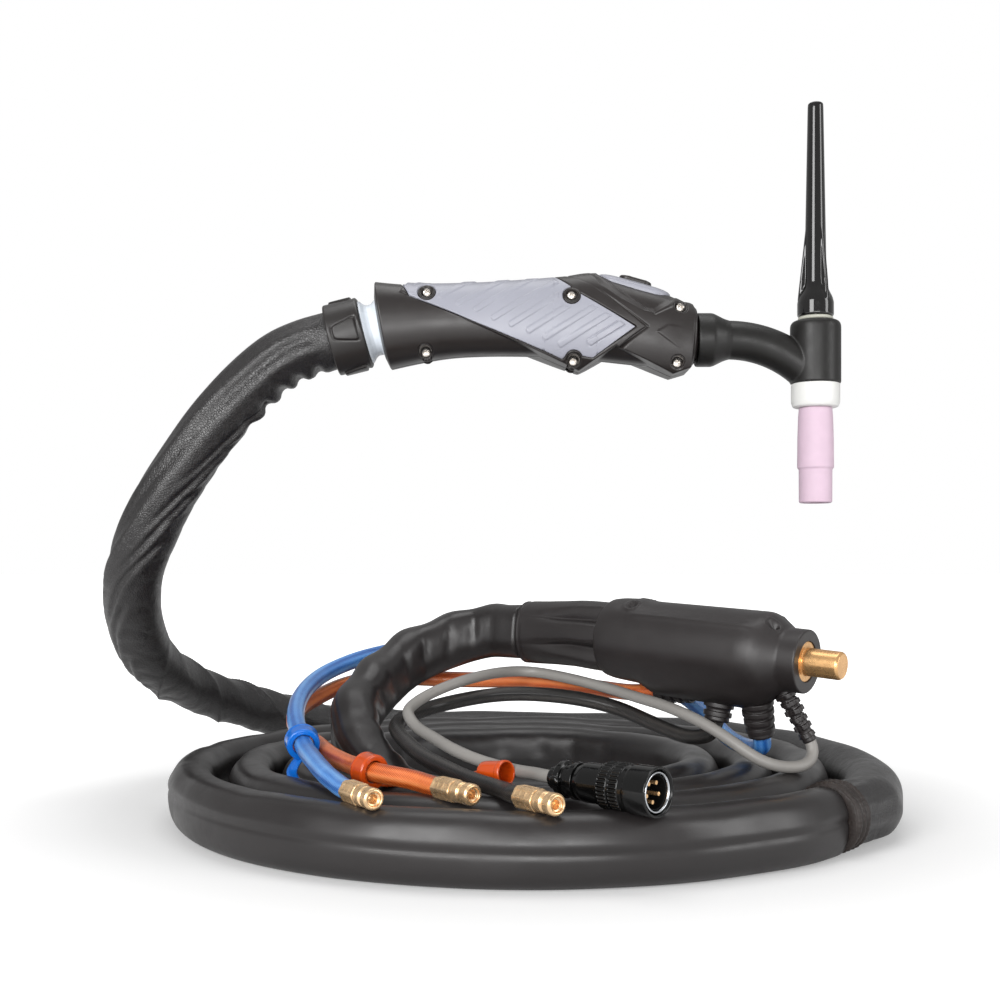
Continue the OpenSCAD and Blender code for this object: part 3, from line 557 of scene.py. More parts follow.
MAT = {
    "shell_black": surface("moulded_nylon_black", "#231f1e", (0.3, 0.42), vary=0.08, grain=3400,
                           grain_depth=0.000022),
    "insert_grey": surface("soft_touch_grey", "#9697a1", (0.3, 0.42), vary=0.035, patch=30,
                           grain=3000, grain_depth=0.00001),
    "ball_grey": surface("ball_blue_grey", "#dfe6ee", (0.22, 0.32), vary=0.04,
                         grain_depth=0.00001),
    "nut_black": surface("nut_nylon", "#211e1d", (0.3, 0.42), vary=0.1, grain=2400),
    "head_black": surface("head_phenolic", "#191817", (0.34, 0.48), patch=80,
                          grain_depth=0.00002, wear=0.12, spec=0.36),
    "cap_black": surface("gloss_phenolic", "#0b0a0a", (0.06, 0.14), vary=0.2, patch=60,
                         grain_depth=0.0, coat=0.35),
    "seal_rubber": surface("seal", "#b9b9ad", (0.45, 0.6), vary=0.1, grain_depth=0.00001),
    "white_plastic": surface("white_insulator", "#dededb", (0.32, 0.45), vary=0.02,
                             grain_depth=0.000008),
    "pink_ceramic": surface("fired_alumina", "#cfb6c6", (0.5, 0.66), vary=0.035, patch=120,
                            grain=5200, grain_depth=0.00002, wear=0.1,
                            wear_color=lin("#d8c4d2")),
    "copper": brass_material("drawn_copper", "#c47a4a", (0.25, 0.4)),
    "brass": brass_material("turned_brass", "#f3cd9e", (0.22, 0.34), "#e6b57c"),
    "screw_steel": brass_material("plated_steel", "#c8c2bb", (0.2, 0.34)),
    "leather": leather_material(),
    "piping_brown": surface("brown_piping", "#211814", (0.4, 0.6), vary=0.25, patch=200,
                            grain=900, grain_depth=0.0002),
    "hose_black": surface("neoprene_cover", "#211e1e", (0.28, 0.44), patch=22, grain=1500,
                          wear=0.06, spec=0.55),
    "boot_rubber": surface("moulded_rubber", "#242020", (0.36, 0.48), vary=0.1, patch=40,
                           grain_depth=0.00002, wear=0.05, spec=0.55),
    "red_braid": braid_material("red_braid", "#8a3208", "#dc5c10", "#ff9f5e", 36, (0.3, 0.42),
                                0.00012, coat=0.6),
    "blue_braid": braid_material("blue_braid", "#0d4690", "#1b74d0", "#84bef4", 36,
                                 (0.3, 0.42), 0.00012, coat=0.6),
    "black_braid": braid_material("black_braid", "#050505", "#111010", "#45413e", 32,
                                  (0.3, 0.44), 0.00014, coat=0.3, spec=0.3),
    "cable_grey": surface("cable_jacket", "#8f8c88", vary=0.05, grain_depth=0.00001),
    "red_plastic": surface("red_moulding", "#c84a0e", (0.18, 0.3), vary=0.08, grain_depth=0.0,
                           coat=0.3),
    "blue_plastic": surface("blue_moulding", "#0c68c6", (0.18, 0.3), vary=0.08,
                            grain_depth=0.0, coat=0.3),
    "plug_black": surface("black_anodised", "#080808", (0.1, 0.18), vary=0.2,
                          grain_depth=0.000006, spec=0.4),
    "plug_silver": brass_material("bright_shell", "#cfd2d6", (0.14, 0.26)),
    "insert_dark": surface("dark_insert", "#0c0c0c", (0.5, 0.65), vary=0.15, spec=0.15),
}
slot_of = {s["node"]: s["material_slot"] for s in frame["record"]["subparts"]}
for n, ob in nodes.items():
    ob.data.materials.clear()
    ob.data.materials.append(MAT[slot_of[n]])

# ------------ camera

cam = bpy.data.cameras.new("camera")
cam.lens = 46.8
cam.sensor_width = 36.0
cam.shift_y = 0.07
cam.clip_end = 60
EYE = vec(-157.75, -650, -39.5)
cam_ob = new_object("camera", cam)
cam_ob.location = EYE * MM
cam_ob.rotation_euler = (PI / 2, 0, 0)
scene.camera = cam_ob

# ------------ shared places, as in the source


def backwards(deg):
    """The way back from the handle, sloping down by an angle."""
    return vec(-math.cos(math.radians(deg)), 0, -math.sin(math.radians(deg)))


collar_z = 75.4127420
ball_c = vec(-208.3, 0, collar_z + 8)
hose_dir, tail_dir = backwards(14), backwards(10)
NUT_FRONT, NUT_LEN, NUT_R = 17.2, 17.6, 17.7
NUT_REAR = NUT_FRONT + NUT_LEN


def on_coil(t, z):
    """The coil's centre line after t turns inwards, at height z over the floor."""
    r = 172 - 26 * t - 3.5 * min(t, 1)
    a = math.radians(-40 - 360 * t)
    return vec(-150 + r * math.cos(a), 17 + r * math.sin(a), z)


BOOT = 119.0
boot_rear = vec(-110.5, 17, 89)
boot_dir = unit([94, -74, -9])
sleeve_dir = unit([-78, 62, 0])
coil_start = over_floor(on_coil(0, 15.6))
heading = unit(on_coil(0.001, 0) - on_coil(-0.001, 0))

# ------------ leather cover

leather_route = [[-253.6, 0, 233.6], [-266, 0, 228], [-279, 0, 218], [-291, 0, 206],
    [-309, 1, 184], [-323, 3, 164], [-335, 8, 142], [-343.5, 16, 126], [-349, 28, 110],
    [-352, 42, 96], [-352, 64, 77], [-346, 90, 63], [-337, 116, 52], [-318, 142, 41],
    [-295, 164, 31], [-268, 182, 23], [-238, 194, 18], [-205, 201, 15.5], [-150, 199.5, 15],
    [-103, 191, 15], [-60, 173, 15], [-22, 145, 15], [4, 106, 15], [20, 62, 15], [25, 17, 15],
    [22, -18, 15]]
nut_end = ball_c + (NUT_REAR - 4) * hose_dir
leather_end = coil_start - 12 * heading - vec(0, 0, 0.6)
leather_path = np.vstack([[nut_end], catmull(np.vstack([[nut_end + 12 * hose_dir],
    over_floor(leather_route), [leather_end - 30 * heading]]), 8), [leather_end]])
leather_path = smooth_path(resample(leather_path, 1.5), 6)
leather_len = lengths(leather_path)[-1]
LEATHER_R, HOLLOW = 14.75, 0.35


def leather_section(s, a):
    # the seam and its gathers run along the inner edge of the bend, deepest near the nut
    seam = math.radians(264) + 0.12 * np.sin(s / 37.0) + 0.5 * smoothstep(230, 400, s)
    d = turn_gap(a, seam)
    near_nut = 1 - smoothstep(44, 82, s)
    up_part = 1 - smoothstep(300, 380, s)
    phase = 2 * PI * s / 12.6 + 1.1 * np.sin(s / 19.0) + 0.5 * np.sin(s / 8.3 + 1)
    gather = swell(phase) ** 1.5
    out = -(0.25 + 2.3 * near_nut) * gather * bell(d, 0.5) * (0.35 + 0.65 * up_part)
    out = out + (0.2 + 0.9 * near_nut) * (1 - gather) * bell(d, 0.4)
    # folds leave the seam and run up the near side
    for s0 in (46, 74, 104, 138, 176, 216):
        line = turn_gap(a, seam - 0.1 - 0.013 * (s - s0) - 0.06 * np.sin((s - s0) / 11.0))
        on = between(s0, s0 + 10, s0 + 44, s0 + 72, s)
        out = out + on * (0.9 * bell(line - 0.2, 0.2) - 1.3 * bell(line, 0.12))
    # long ridges of slack that catch the light along the near side
    ridge = PI + 0.2 + 0.2 * np.sin(s / 45.0 + 0.6)
    slack = (1 - smoothstep(250, 330, s)) * (0.75 + 0.25 * np.sin(s / 21.0))
    out = out + slack * (
        1.2 * bell(turn_gap(a, ridge), 0.22) - 1.1 * bell(turn_gap(a, ridge - 0.42), 0.18)
        + 0.9 * bell(turn_gap(a, ridge - 0.8 + 0.12 * np.sin(s / 27.0)), 0.2)
        - 0.4 * bell(turn_gap(a, ridge - 1.12), 0.16))
    # fold lines that climb round the cover at its lowest bend
    twist = between(215, 265, 400, 470, s)
    w = 2 * a + 2 * PI * s / 58.0 + 0.5 * np.sin(s / 17.0)
    fold = 1 - np.abs(np.sin(w / 2 + 0.4 * np.sin(a + s / 31.0)))
    out = out + twist * (2.2 * fold ** 3 - 1.3 * np.abs(np.cos(w / 2)) ** 1.2 - 0.8)
    # broad slack of the cover, and small creases across it
    out = out + 0.55 * lumps(s, a, 3, 90)
    crease = np.abs(np.sin(2 * PI * s / 31.0 + 1.4 * np.sin(2 * a + s / 40.0)))
    out = out - 0.35 * (1 - crease) ** 3 * (0.5 + 0.5 * np.cos(turn_gap(a, seam)))
    # gathers where the piping ties it
    tie = smoothstep(leather_len - 42, leather_len - 2, s)
    out = out - tie * (0.9 + 0.9 * np.sin(9 * a + 0.6 * np.sin(s / 6.0))) * 0.8
    # tucked into the nut
    out = out * smoothstep(3, 16, s)
    return polar(LEATHER_R - HOLLOW + np.clip(out, -3.4, 1.9), a)


leather = swept("leather_cover", ["leather_hose"], leather_path, leather_section, 112)

# ------------ smooth cover: coil, then riser

PER_TURN, COIL_STEPS = 24, 75
COIL_H = 14.6
turns = COIL_STEPS / PER_TURN
coil_pts = [on_coil(0, COIL_H), on_coil(0, COIL_H) + 22 * heading]
coil_pts += [on_coil(i / PER_TURN, COIL_H) for i in range(1, COIL_STEPS + 1)]
coil_last = on_coil(turns, 12)
coil_exit = unit(on_coil(turns + 1 / PER_TURN, 12) - coil_last)
coil_end = coil_last + 22 * coil_exit
riser_route = [[-191, -58, 14], [-208, -47, 19], [-224, -24, 34], [-230, 0, 49],
    [-222, 26, 62], [-207, 47, 74.5], [-186, 58, 83], [-165, 58, 88.6]]
riser_end = boot_rear + 40 * sleeve_dir
hose_pts = np.vstack([
    coil_pts, [coil_end + vec(0, 0, 2.2)], [coil_end + 8 * coil_exit + vec(0, 0, 2)],
    riser_route, [riser_end + 14 * sleeve_dir], [riser_end + 2 * sleeve_dir]])
hose_path = smooth_path(resample(over_floor(catmull(hose_pts, 8)), 2.2), 8)
hose_at = lengths(hose_path)
hose_len = hose_at[-1]
coil_len = hose_at[np.argmin(np.linalg.norm(hose_path - over_floor(coil_end), axis=1))]


def hose_section(s, a):
    rise = smoothstep(coil_len + 10, coil_len + 60, s)
    k = oval(a, 10.9 + 1.1 * rise, 15.0 - 0.6 * rise, 2.5)
    out = 0.35 * lumps(s, a, 11, 160)
    # a long soft crease runs along the outer face
    line = turn_gap(a, PI - 0.12 + 0.12 * np.sin(s / 70.0))
    out = out - 0.55 * bell(line, 0.13) + 0.3 * bell(line + 0.3, 0.2)
    # soft puckers on the inner side and the top of each turn
    w = 2 * PI * s / 33.0 + 2.4 * np.sin(s / 51.0) + 1.3 * np.sin(s / 19.0)
    out = out - 0.9 * swell(w) ** 2 * bell(turn_gap(a, 0.35), 0.55)
    w = 2 * PI * s / 61.0 + 1.9 * np.sin(s / 83.0 + 2)
    out = out - 0.7 * swell(w) ** 3 * bell(turn_gap(a, 1.9), 0.6)
    # the bend over the coil buckles
    b = between(coil_len + 25, coil_len + 60, hose_len - 26, hose_len - 6, s)
    q = 2 * PI * (s - coil_len) / 27.0 + 1.1 * np.sin(a + s / 30.0)
    out = out + b * (0.9 * np.sin(q) * bell(turn_gap(a, 2.0), 1.1)
                     - 1.2 * swell(q * 1.7 + 1) ** 3 * bell(turn_gap(a, 0.2), 0.8))
    out = out - b * 0.9 * bell(turn_gap(a, 2.35 + 0.25 * np.sin(s / 37.0)), 0.16)
    return polar(k + out, a)


hose = swept("neoprene_cover", ["hose_coil", "hose_riser"], hose_path, hose_section, 72)

# ------------ leads, heights over the floor

# where each relief starts in the boot, and its tip
relief_at = {"red": ([-63, -12, 64], [-79, -1, 61.5]), "blue": ([-38, -40, 66], [-34, -34, 44]),
             "gas": ([-51, -27, 68], [-54, -27, 50]), "cable": ([-26, -47, 66], [-14, -47, 43])}
# each lead's far end, and the way its fitting points
end_at = {"red": (vec(-182.6, -117.6, 33), unit([16, -20.5, 0])),
          "blue": (vec(-218.5, -126, 33), unit([12, -20, 0])),
          "gas": (vec(-149.5, -141, 33.4), unit([14, -20, 0])),
          "cable": (vec(-136, -121, 37.6), unit([726, -686, 0]))}
routes = {
    "red": [[-93, 9, 60], [-107, 25, 60.6], [-124, 38, 62], [-145, 49, 63], [-168, 59, 62],
        [-191, 67, 62], [-218, 64, 63], [-239, 50, 61], [-253, 30, 55.6], [-260.8, 8, 50],
        [-256.7, -16, 44.8], [-243, -40, 40], [-232, -62, 37], [-214, -90, 35.5],
        [-193, -105.2, 34]],
    "blue": [[-33, -29, 38], [-36, -17, 35], [-45, -1, 39], [-55, 22, 51], [-76, 50, 64],
        [-113, 76, 75], [-158, 90, 80.4], [-197.5, 84, 79.7], [-229, 62, 75], [-249, 36, 68],
        [-256.6, 4, 60.7], [-255.6, -28, 52.6], [-248, -56, 43.4], [-241.4, -76, 39.9],
        [-230, -105, 35.6], [-223, -117, 33.6]],
    "gas": [[-59, -25, 42], [-67, -19, 41], [-82, -6, 46], [-101, 8, 53], [-127, 15, 57.5],
        [-158, 18, 58], [-188, 8, 53.5], [-207, -12, 48], [-206.5, -30, 45], [-200, -50, 41.5],
        [-192, -68, 38.2], [-180, -88, 35.4], [-169.5, -104, 33.4], [-159.5, -116, 32.4],
        [-154, -128, 32.6]],
    "cable": [[-13, -49, 35], [-18, -54, 32], [-28, -58, 32], [-39, -58, 35], [-48, -53, 41],
        [-57, -46, 47], [-66, -38, 52], [-78, -23, 56.5], [-90, -7, 59], [-105, 9, 62.6],
        [-124, 23, 66.4], [-143, 36, 68.6], [-160, 27, 68.4], [-177, 12, 65.5],
        [-192, 0, 60.5], [-201, -12, 55.5], [-203, -20, 53], [-198, -31, 47.6],
        [-190, -45, 44.8], [-178, -66, 41], [-166.5, -78, 38], [-151, -93, 36],
        [-143, -107, 37]]}


def lead_path(key, dia):
    root, tip = np.array(relief_at[key], float)
    end, d = end_at[key]
    inner = catmull(np.vstack([[tip + dia * unit(tip - root)], routes[key], [end - dia * d]]), 8)
    path = over_floor(np.vstack([[tip], inner, [end]]))
    return smooth_path(resample(path, 1.2), 30)


def round_section(r, pleat):
    def f(s, a):
        k = r + 0.06 * lumps(s, a, 1, 60) + pleat * (np.sin(5 * a + s / 60.0) - 0.6)
        return polar(k, a)
    return f


for key, node, dia, around, pleat in (
        ("red", "red_hose", 8.5, 40, 0.13), ("blue", "blue_hose", 8.5, 40, 0.13),
        ("gas", "gas_hose", 7.5, 36, 0.13), ("cable", "control_cable", 5.5, 28, 0.0)):
    path = lead_path(key, dia)
    ob = swept(key + "_lead", [node], path, round_section(dia / 2, pleat), around,
               frames=even_frames, floor=False)

# ------------ piping, nut and ball sleeve

prof = [(13.0, -1.5), (14.4, -0.6)]
for z in (2, 6, 10):
    cord = [(14.2 + 1.5 * math.sin(t), z - 1.5 * math.cos(t))
            for t in np.linspace(0.25, PI - 0.25, 9)]
    prof += [(14.5, z - 1.9)] + cord + [(14.5, z + 1.9)]
prof += [(14.2, 12.0), (12.5, 12.2)]
piping = turned("leather_end_piping", "leather_piping", prof, coil_start - 12 * heading, heading,
                edge=0, seg=120, mod=lambda r, z, a: r + 0.16 * np.sin(40 * a) * (r > 14.6)
                + 0.12 * np.sin(7 * a + z))


def nut_mod(r, z, a):
    # four raised grip pads round the nut, each with a thin groove round it
    d = np.abs(turn_gap(4 * (a - PI / 2), 0) / 4) * NUT_R
    h = z - (NUT_FRONT + NUT_LEN / 2)
    half = 6.1 - 3.0 * np.clip((h + 5.9) / 11.8, 0, 1)
    inside = -np.log(np.exp(-1.5 * (half - d)) + np.exp(-1.5 * (5.9 - np.abs(h)))) / 1.5
    pad = smoothstep(-0.3, 0.45, inside)
    groove = bell(inside + 0.42, 0.3)
    return r + (r > NUT_R - 0.4) * (0.95 * pad - 0.4 * groove)


turned("swivel_nut", "hose_nut", [
    (9.6, NUT_FRONT + 5), (15.82, NUT_FRONT + 5), (15.82, NUT_FRONT), (16.5, NUT_FRONT, 0.3),
    (NUT_R, NUT_FRONT + 0.8, 0.8), (NUT_R, NUT_REAR, 1.8), (15.4, NUT_REAR),
    (15.1, NUT_REAR - 3.9)], ball_c, hose_dir, edge=0.5, seg=256, mod=nut_mod, caps=False,
    step=0.4)

BALL_R = 17
ball = [(BALL_R * math.cos(t), BALL_R * math.sin(t)) for t in np.radians(np.linspace(-44, 41, 30))]
turned("swivel_ball", "ball_sleeve", [(9.5, -12.0)] + ball + [
    (12.75, 12.6, 1.0), (12.7, 13.4, 0.6), (13.6, 14.9, 0.5), (15.3, 16.3, 0.4), (15.7, 16.9),
    (15.7, 21.7), (9.5, 21.8)], ball_c, hose_dir, "ball", edge=0.5, caps=False)

# ------------ handle

# each ring: x and height of its top and of its keel over the collar's axis, and how far the
# width has gone from the rear's to the nose's
stations = np.array([
    [-220, 28.2, -212.4, -14.6, 0], [-207.7, 27.1, -199.7, -11.8, 0.31],
    [-192.7, 26.4, -184, -9.1, 0.66], [-167.7, 27, -166.7, -8, 0.96],
    [-142.7, 28.6, -144.2, -8, 1], [-126, 30, -126.5, -8.8, 0.94],
    [-109.5, 31.8, -108.5, -10.4, 0.87], [-90, 26.8, -88, -12.6, 1.04],
    [-73.7, 22, -73, -13.6, 1.24], [-60.3, 15.2, -62.3, -14.2, 1.48]])
POWER, PANEL, KEEL = 2.4, 1.2, 8.0
WIDE, NARROW = 43.3 / 2, 17.0


def near_face(points):
    """Moves side-view points seen through the camera to the near face, at depth y from the
    middle; each point is x, height over the collar's axis and y."""
    out = []
    for x, z, y in points:
        k = (EYE[1] + y) / EYE[1]
        out.append([EYE[0] + (x - EYE[0]) * k, EYE[2] + (z + collar_z - EYE[2]) * k - collar_z])
    return out


rhomb = near_face([[-203, 27.6, 0], [-207, 21.6, 4], [-118.7, -16.6, 0], [-84, 7.1, 17],
    [-112, 26.6, 10], [-128, 31.6, 0]])
cross_panel = near_face([[-128, 31.6, 0], [-110, 31.6, 0], [-80, 13.1, 17], [-66, 18.6, 8],
    [-61.5, 17, 0], [-63.3, -15.4, 0], [-72.5, -18.5, 0], [-85.5, -9.1, 16], [-99.3, -3, 17],
    [-84, 7.1, 17], [-108, 23.6, 12]])
insert_outline = near_face([[-207.2, 28.6, 0], [-202.6, 20.6, 8], [-126.7, -9.4, 15],
    [-123.8, -7.2, 16], [-117.2, -7.8, 16], [-111.2, -8.8, 16], [-89.8, 6.8, 17],
    [-116.5, 22, 14], [-132, 31.1, 0]])
screws = near_face([[-194.2, 23.1, 10.4], [-195, -5.6, 13], [-122, 22.2, 14.6],
    [-121, -10.2, 12.4], [-68, 15.8, 9], [-69.5, -11.8, 9.4]])
scoop = near_face([[-113, 33, 4], [-108, 27, 9], [-98, 20.6, 13], [-86, 14.6, 15],
    [-80.5, 13.6, 15], [-74, 17.5, 12], [-69, 22, 6], [-80, 26, 3], [-92, 31, 3]])
chevron = near_face([[-79.9, 4.4, 17], [-73.6, 7.9, 16], [-64, 6.4, 15], [-64, -5, 15],
    [-69.4, -3.4, 16]])
# the insert's notch and the shell's recess round each screw
NOTCH, RECESS = 4.5, 3.35


def panels_sd(x, z):
    return np.maximum(poly_sd(x, z, rhomb), poly_sd(x, z, cross_panel))


class Skin:
    """The handle's outer surface: radius in each ring's plane at angle th over the level."""

    def __init__(self, st):
        t, b = st[:, 0:2], st[:, 2:4]
        self.h = np.linalg.norm(t - b, axis=1) / 2
        self.u = (t - b) / (2 * self.h[:, None])
        self.c = (t + b) / 2
        self.w = WIDE * (1 - st[:, 4]) + NARROW * st[:, 4]

    def base(self, th):
        return oval(th, self.w[:, None], self.h[:, None], POWER)

    def grown(self, th):
        """The base, grown by the panel's thickness and at its low side by the keel."""
        shift = (PANEL - KEEL) / 2
        hh = self.h[:, None] + (PANEL + KEEL) / 2
        ww = self.w[:, None] + PANEL
        lo = np.zeros(np.broadcast(th, hh).shape)
        hi = lo + 60
        for _ in range(34):
            mid = (lo + hi) / 2
            f = (np.abs(np.cos(th) * mid) / ww) ** POWER \
                + (np.abs(np.sin(th) * mid - shift) / hh) ** POWER
            lo = np.where(f < 1, mid, lo)
            hi = np.where(f < 1, hi, mid)
        return lo

    def low_exit(self):
        """How far below each ring's centre the panels end."""
        w = np.linspace(-45, 0, 900)
        ok = panels_sd(self.c[:, 0:1] + w * self.u[:, 0:1], self.c[:, 1:2] + w * self.u[:, 1:2]) > 0
        return np.where(ok.any(1), w[np.argmax(ok, 1)], -self.h)

    def side_view(self, th, r):
        return [self.c[:, k:k + 1] + np.sin(th) * r * self.u[:, k:k + 1] for k in (0, 1)]


def smooth_min(a, b, k):
    h = np.clip(0.5 + 0.5 * (b - a) / k, 0, 1)
    return b + (a - b) * h - k * h * (1 - h)


def to_screw(x, z):
    """Distance to the nearest screw."""
    return np.min([np.hypot(x - sx, z - sz) for sx, sz in screws], axis=0)


def insert_sd(x, z):
    return np.minimum(poly_sd(x, z, insert_outline), to_screw(x, z) - NOTCH)


def shell_radius(skin, th, seat=True, pits=True):
    """Radius of the shell with its panels, without or with the insert's seat and the pits."""
    b = skin.base(th)
    low = skin.low_exit()[:, None]
    exit_r = np.where(np.sin(th) < -0.02, low / np.minimum(np.sin(th), -0.02), 200.0)
    panel = smooth_min(skin.grown(th), np.maximum(exit_r, b), 0.5)
    mask = smoothstep(-0.35, 0.75, panels_sd(*skin.side_view(th, b)))
    r = b + mask * np.maximum(panel - b, 0)
    x, z = skin.side_view(th, r)
    # shallow valley between the cross-shaped panel and the trigger's bezel, and the chevron
    valley = poly_sd(x, z, scoop)
    r = r - 0.85 * smoothstep(-0.4, 3.2, valley) - 0.25 * smoothstep(-0.3, 0.5, valley)
    r = r + 0.5 * smoothstep(-0.1, 0.7, poly_sd(x, z, chevron)) * (1 - smoothstep(-79, -67, x))
    if seat:
        r = r - 1.5 * smoothstep(-0.28, 0.05, insert_sd(x, z))
    if seat and pits:
        r = r - 6.0 * (1 - smoothstep(2.9, RECESS, to_screw(x, z)))
    return r, x, z


RINGS, AROUND = 460, 250
dense = catmull(stations, 60)
along = lengths(np.stack([dense[:, 0], 0 * dense[:, 0], dense[:, 1]], 1))
at = np.linspace(0, along[-1], RINGS)
skin = Skin(at_lengths(dense, along, at))
th = np.linspace(-PI / 2, PI / 2, AROUND)[None, :]
rad = smooth_path(smooth_path(shell_radius(skin, th)[0], 1).T, 1).T
# roll both halves in at the parting line, and round the rear rim and the nose
edge = np.minimum(th + PI / 2, PI / 2 - th) * 18
rad = rad - 0.35 * (1 - smoothstep(0, 0.5, edge))
rad = rad - 0.7 * round_in((at - at[0])[:, None], 0.9) - 0.8 * round_in((at[-1] - at)[:, None], 0.9)


def skin_points(sk, th, r, side):
    x, z = sk.side_view(th, r)
    return np.stack([x, side * np.cos(th) * r, z + collar_z], -1)


def mouth_ring(th, out, side, r):
    """Points round the ball's axis at distance out along the tail, at radius r."""
    up = vec(tail_dir[2], 0, -tail_dir[0])
    return (ball_c + out * tail_dir + r * np.cos(th)[:, None] * vec(0, side, 0)
            + r * np.sin(th)[:, None] * up)


def shell(name, side, node):
    t1 = th[0]
    rows = list(skin_points(skin, th, rad, side))
    # the rear's rim face, then the socket of the ball
    inner = mouth_ring(t1, 9.5, side, 15.6)
    rear = [rows[0] + (inner - rows[0]) * k for k in (0.08, 0.3, 0.6, 0.92)]
    rear += [mouth_ring(t1, out, side, r)
             for out, r in ((9.0, 15.2), (8.2, 14.95), (4.0, 16.6), (0.0, 17.2))]
    nose = np.stack([np.full(AROUND, -60.2), side * np.cos(t1) * 10.7,
                     collar_z + np.sin(t1) * 10.7], 1)
    front = [rows[-1] + (nose - rows[-1]) * k for k in (0.1, 0.5, 1.0)]
    v = np.array(rear[::-1] + rows + front)
    faces = grid_faces(len(v), AROUND, wrap=False, flip=side > 0)
    stand_in(finish_object(name, v, faces, slot_of[node], "handset"), node)


shell("shell_near", -1, "handle_shell_front")
shell("shell_far", 1, "handle_shell_rear")

# ------------ ridged inserts
# A patch of the same skin, between the outline's lower and upper edge on each ring.


def ring_span(sk):
    tt = np.linspace(-PI / 2 + 0.02, PI / 2 - 0.02, 1200)[None, :]
    x, z = sk.side_view(tt, np.where(np.sin(tt) < 0, sk.base(tt), sk.grown(tt)))
    ok = poly_sd(x, z, insert_outline) > 0
    lo = np.argmax(ok, 1)
    hi = ok.shape[1] - 1 - np.argmax(ok[:, ::-1], 1)
    return [np.where(ok.any(1), tt[0][k], np.nan) for k in (lo, hi)]


def rotated(x, z, angle):
    c, s = math.cos(angle), math.sin(angle)
    return x * c + z * s, -x * s + z * c


# each bar's lower end and its length
bars = [(-200, 24, 60), (-187.8, 18.2, 60), (-178.8, 14.2, 60), (-170.3, 11.2, 60),
    (-161.8, 7.2, 60), (-153.3, 4.2, 60), (-144.8, 1.2, 60), (-136.8, -2.2, 60),
    (-129.2, -5.4, 40), (-114.8, -4.6, 22)]
BAR_TILT, BAR_R = math.radians(31.5), 1.1


def bars_height(x, z):
    h = np.zeros(np.shape(x))
    for bx, bz, long in bars:
        u, v = rotated(x - bx, z - bz, BAR_TILT)
        q = np.maximum(np.abs(u - long / 2) - (long / 2 - BAR_R), 0)
        d = np.hypot(q, np.maximum(np.abs(v) - 0.35, 0)) - BAR_R
        h = np.maximum(h, smoothstep(0.30, -0.30, d))
        h = h - 0.75 * bell(d - 0.3, 0.24)
    return h


def insert_patch(name, side, node):
    # every ring that crosses the outline
    s0, s1 = np.interp([-214, -88], (dense[:, 0] + dense[:, 2]) / 2, along)
    st = at_lengths(dense, along, np.linspace(s0, s1, 420))
    lo, hi = ring_span(Skin(st))
    ok = ~np.isnan(lo) & (hi - lo > 0.006)
    crossed = slice(np.argmax(ok), len(ok) - np.argmax(ok[::-1]))
    sk = Skin(st[crossed])
    # thin gap round the insert
    gap = 0.15 / 17
    lo, hi = lo[crossed] + gap, np.minimum(hi[crossed], math.radians(86.5)) - gap
    hi = np.maximum(hi, lo + 0.002)
    k = np.concatenate([[0, 0.002, 0.006, 0.012], np.linspace(0, 1, 116)[2:-2],
                        [0.988, 0.994, 0.998, 1]])
    tt = lo[:, None] + (hi - lo)[:, None] * k[None, :]
    r, x, z = shell_radius(sk, tt, seat=False)
    ins = insert_sd(x, z)
    bar = bars_height(x, z) * smoothstep(1.5, 2.4, ins) * (1 - smoothstep(0.88, 0.96, k))[None, :]
    r = r + 0.08 + 0.5 * bar - 0.5 * round_in(ins, 0.55)
    # the insert makes room for the screws with rounded notches
    r = r - 2.0 * (1 - smoothstep(-0.35, 0.1, ins)) \
        - 5.0 * (1 - smoothstep(2.95, RECESS, to_screw(x, z)))
    R, C = tt.shape
    verts = np.concatenate([skin_points(sk, tt, q, side).reshape(-1, 3) for q in (r, r - 1.5)])
    f = grid_faces(R, C, wrap=False, flip=side > 0)
    faces = f + (np.array(f)[:, ::-1] + R * C).tolist()
    g = np.arange(R * C).reshape(R, C)
    rim = np.concatenate([g[:, 0], g[-1, 1:], g[-2::-1, -1], g[0, -2:0:-1]]).tolist()
    faces += [[p, q, q + R * C, p + R * C] for p, q in zip(rim, rim[1:] + rim[:1])]
    stand_in(fix_normals(finish_object(name, verts, faces, slot_of[node], "handset")), node)


insert_patch("grip_near", -1, "grip_insert_front")
insert_patch("grip_far", 1, "grip_insert_rear")

# ------------ screws

# the shell's surface without its pits, for the depth of each screw
flat_rad = shell_radius(skin, th, pits=False)[0]
tab_x, tab_z = skin.side_view(th, flat_rad)
tab_y = np.cos(th) * flat_rad


def side_y(x, z):
    w = 1 / (np.hypot(tab_x - x, tab_z - z) + 0.12) ** 3
    return float((w * tab_y).sum() / w.sum())


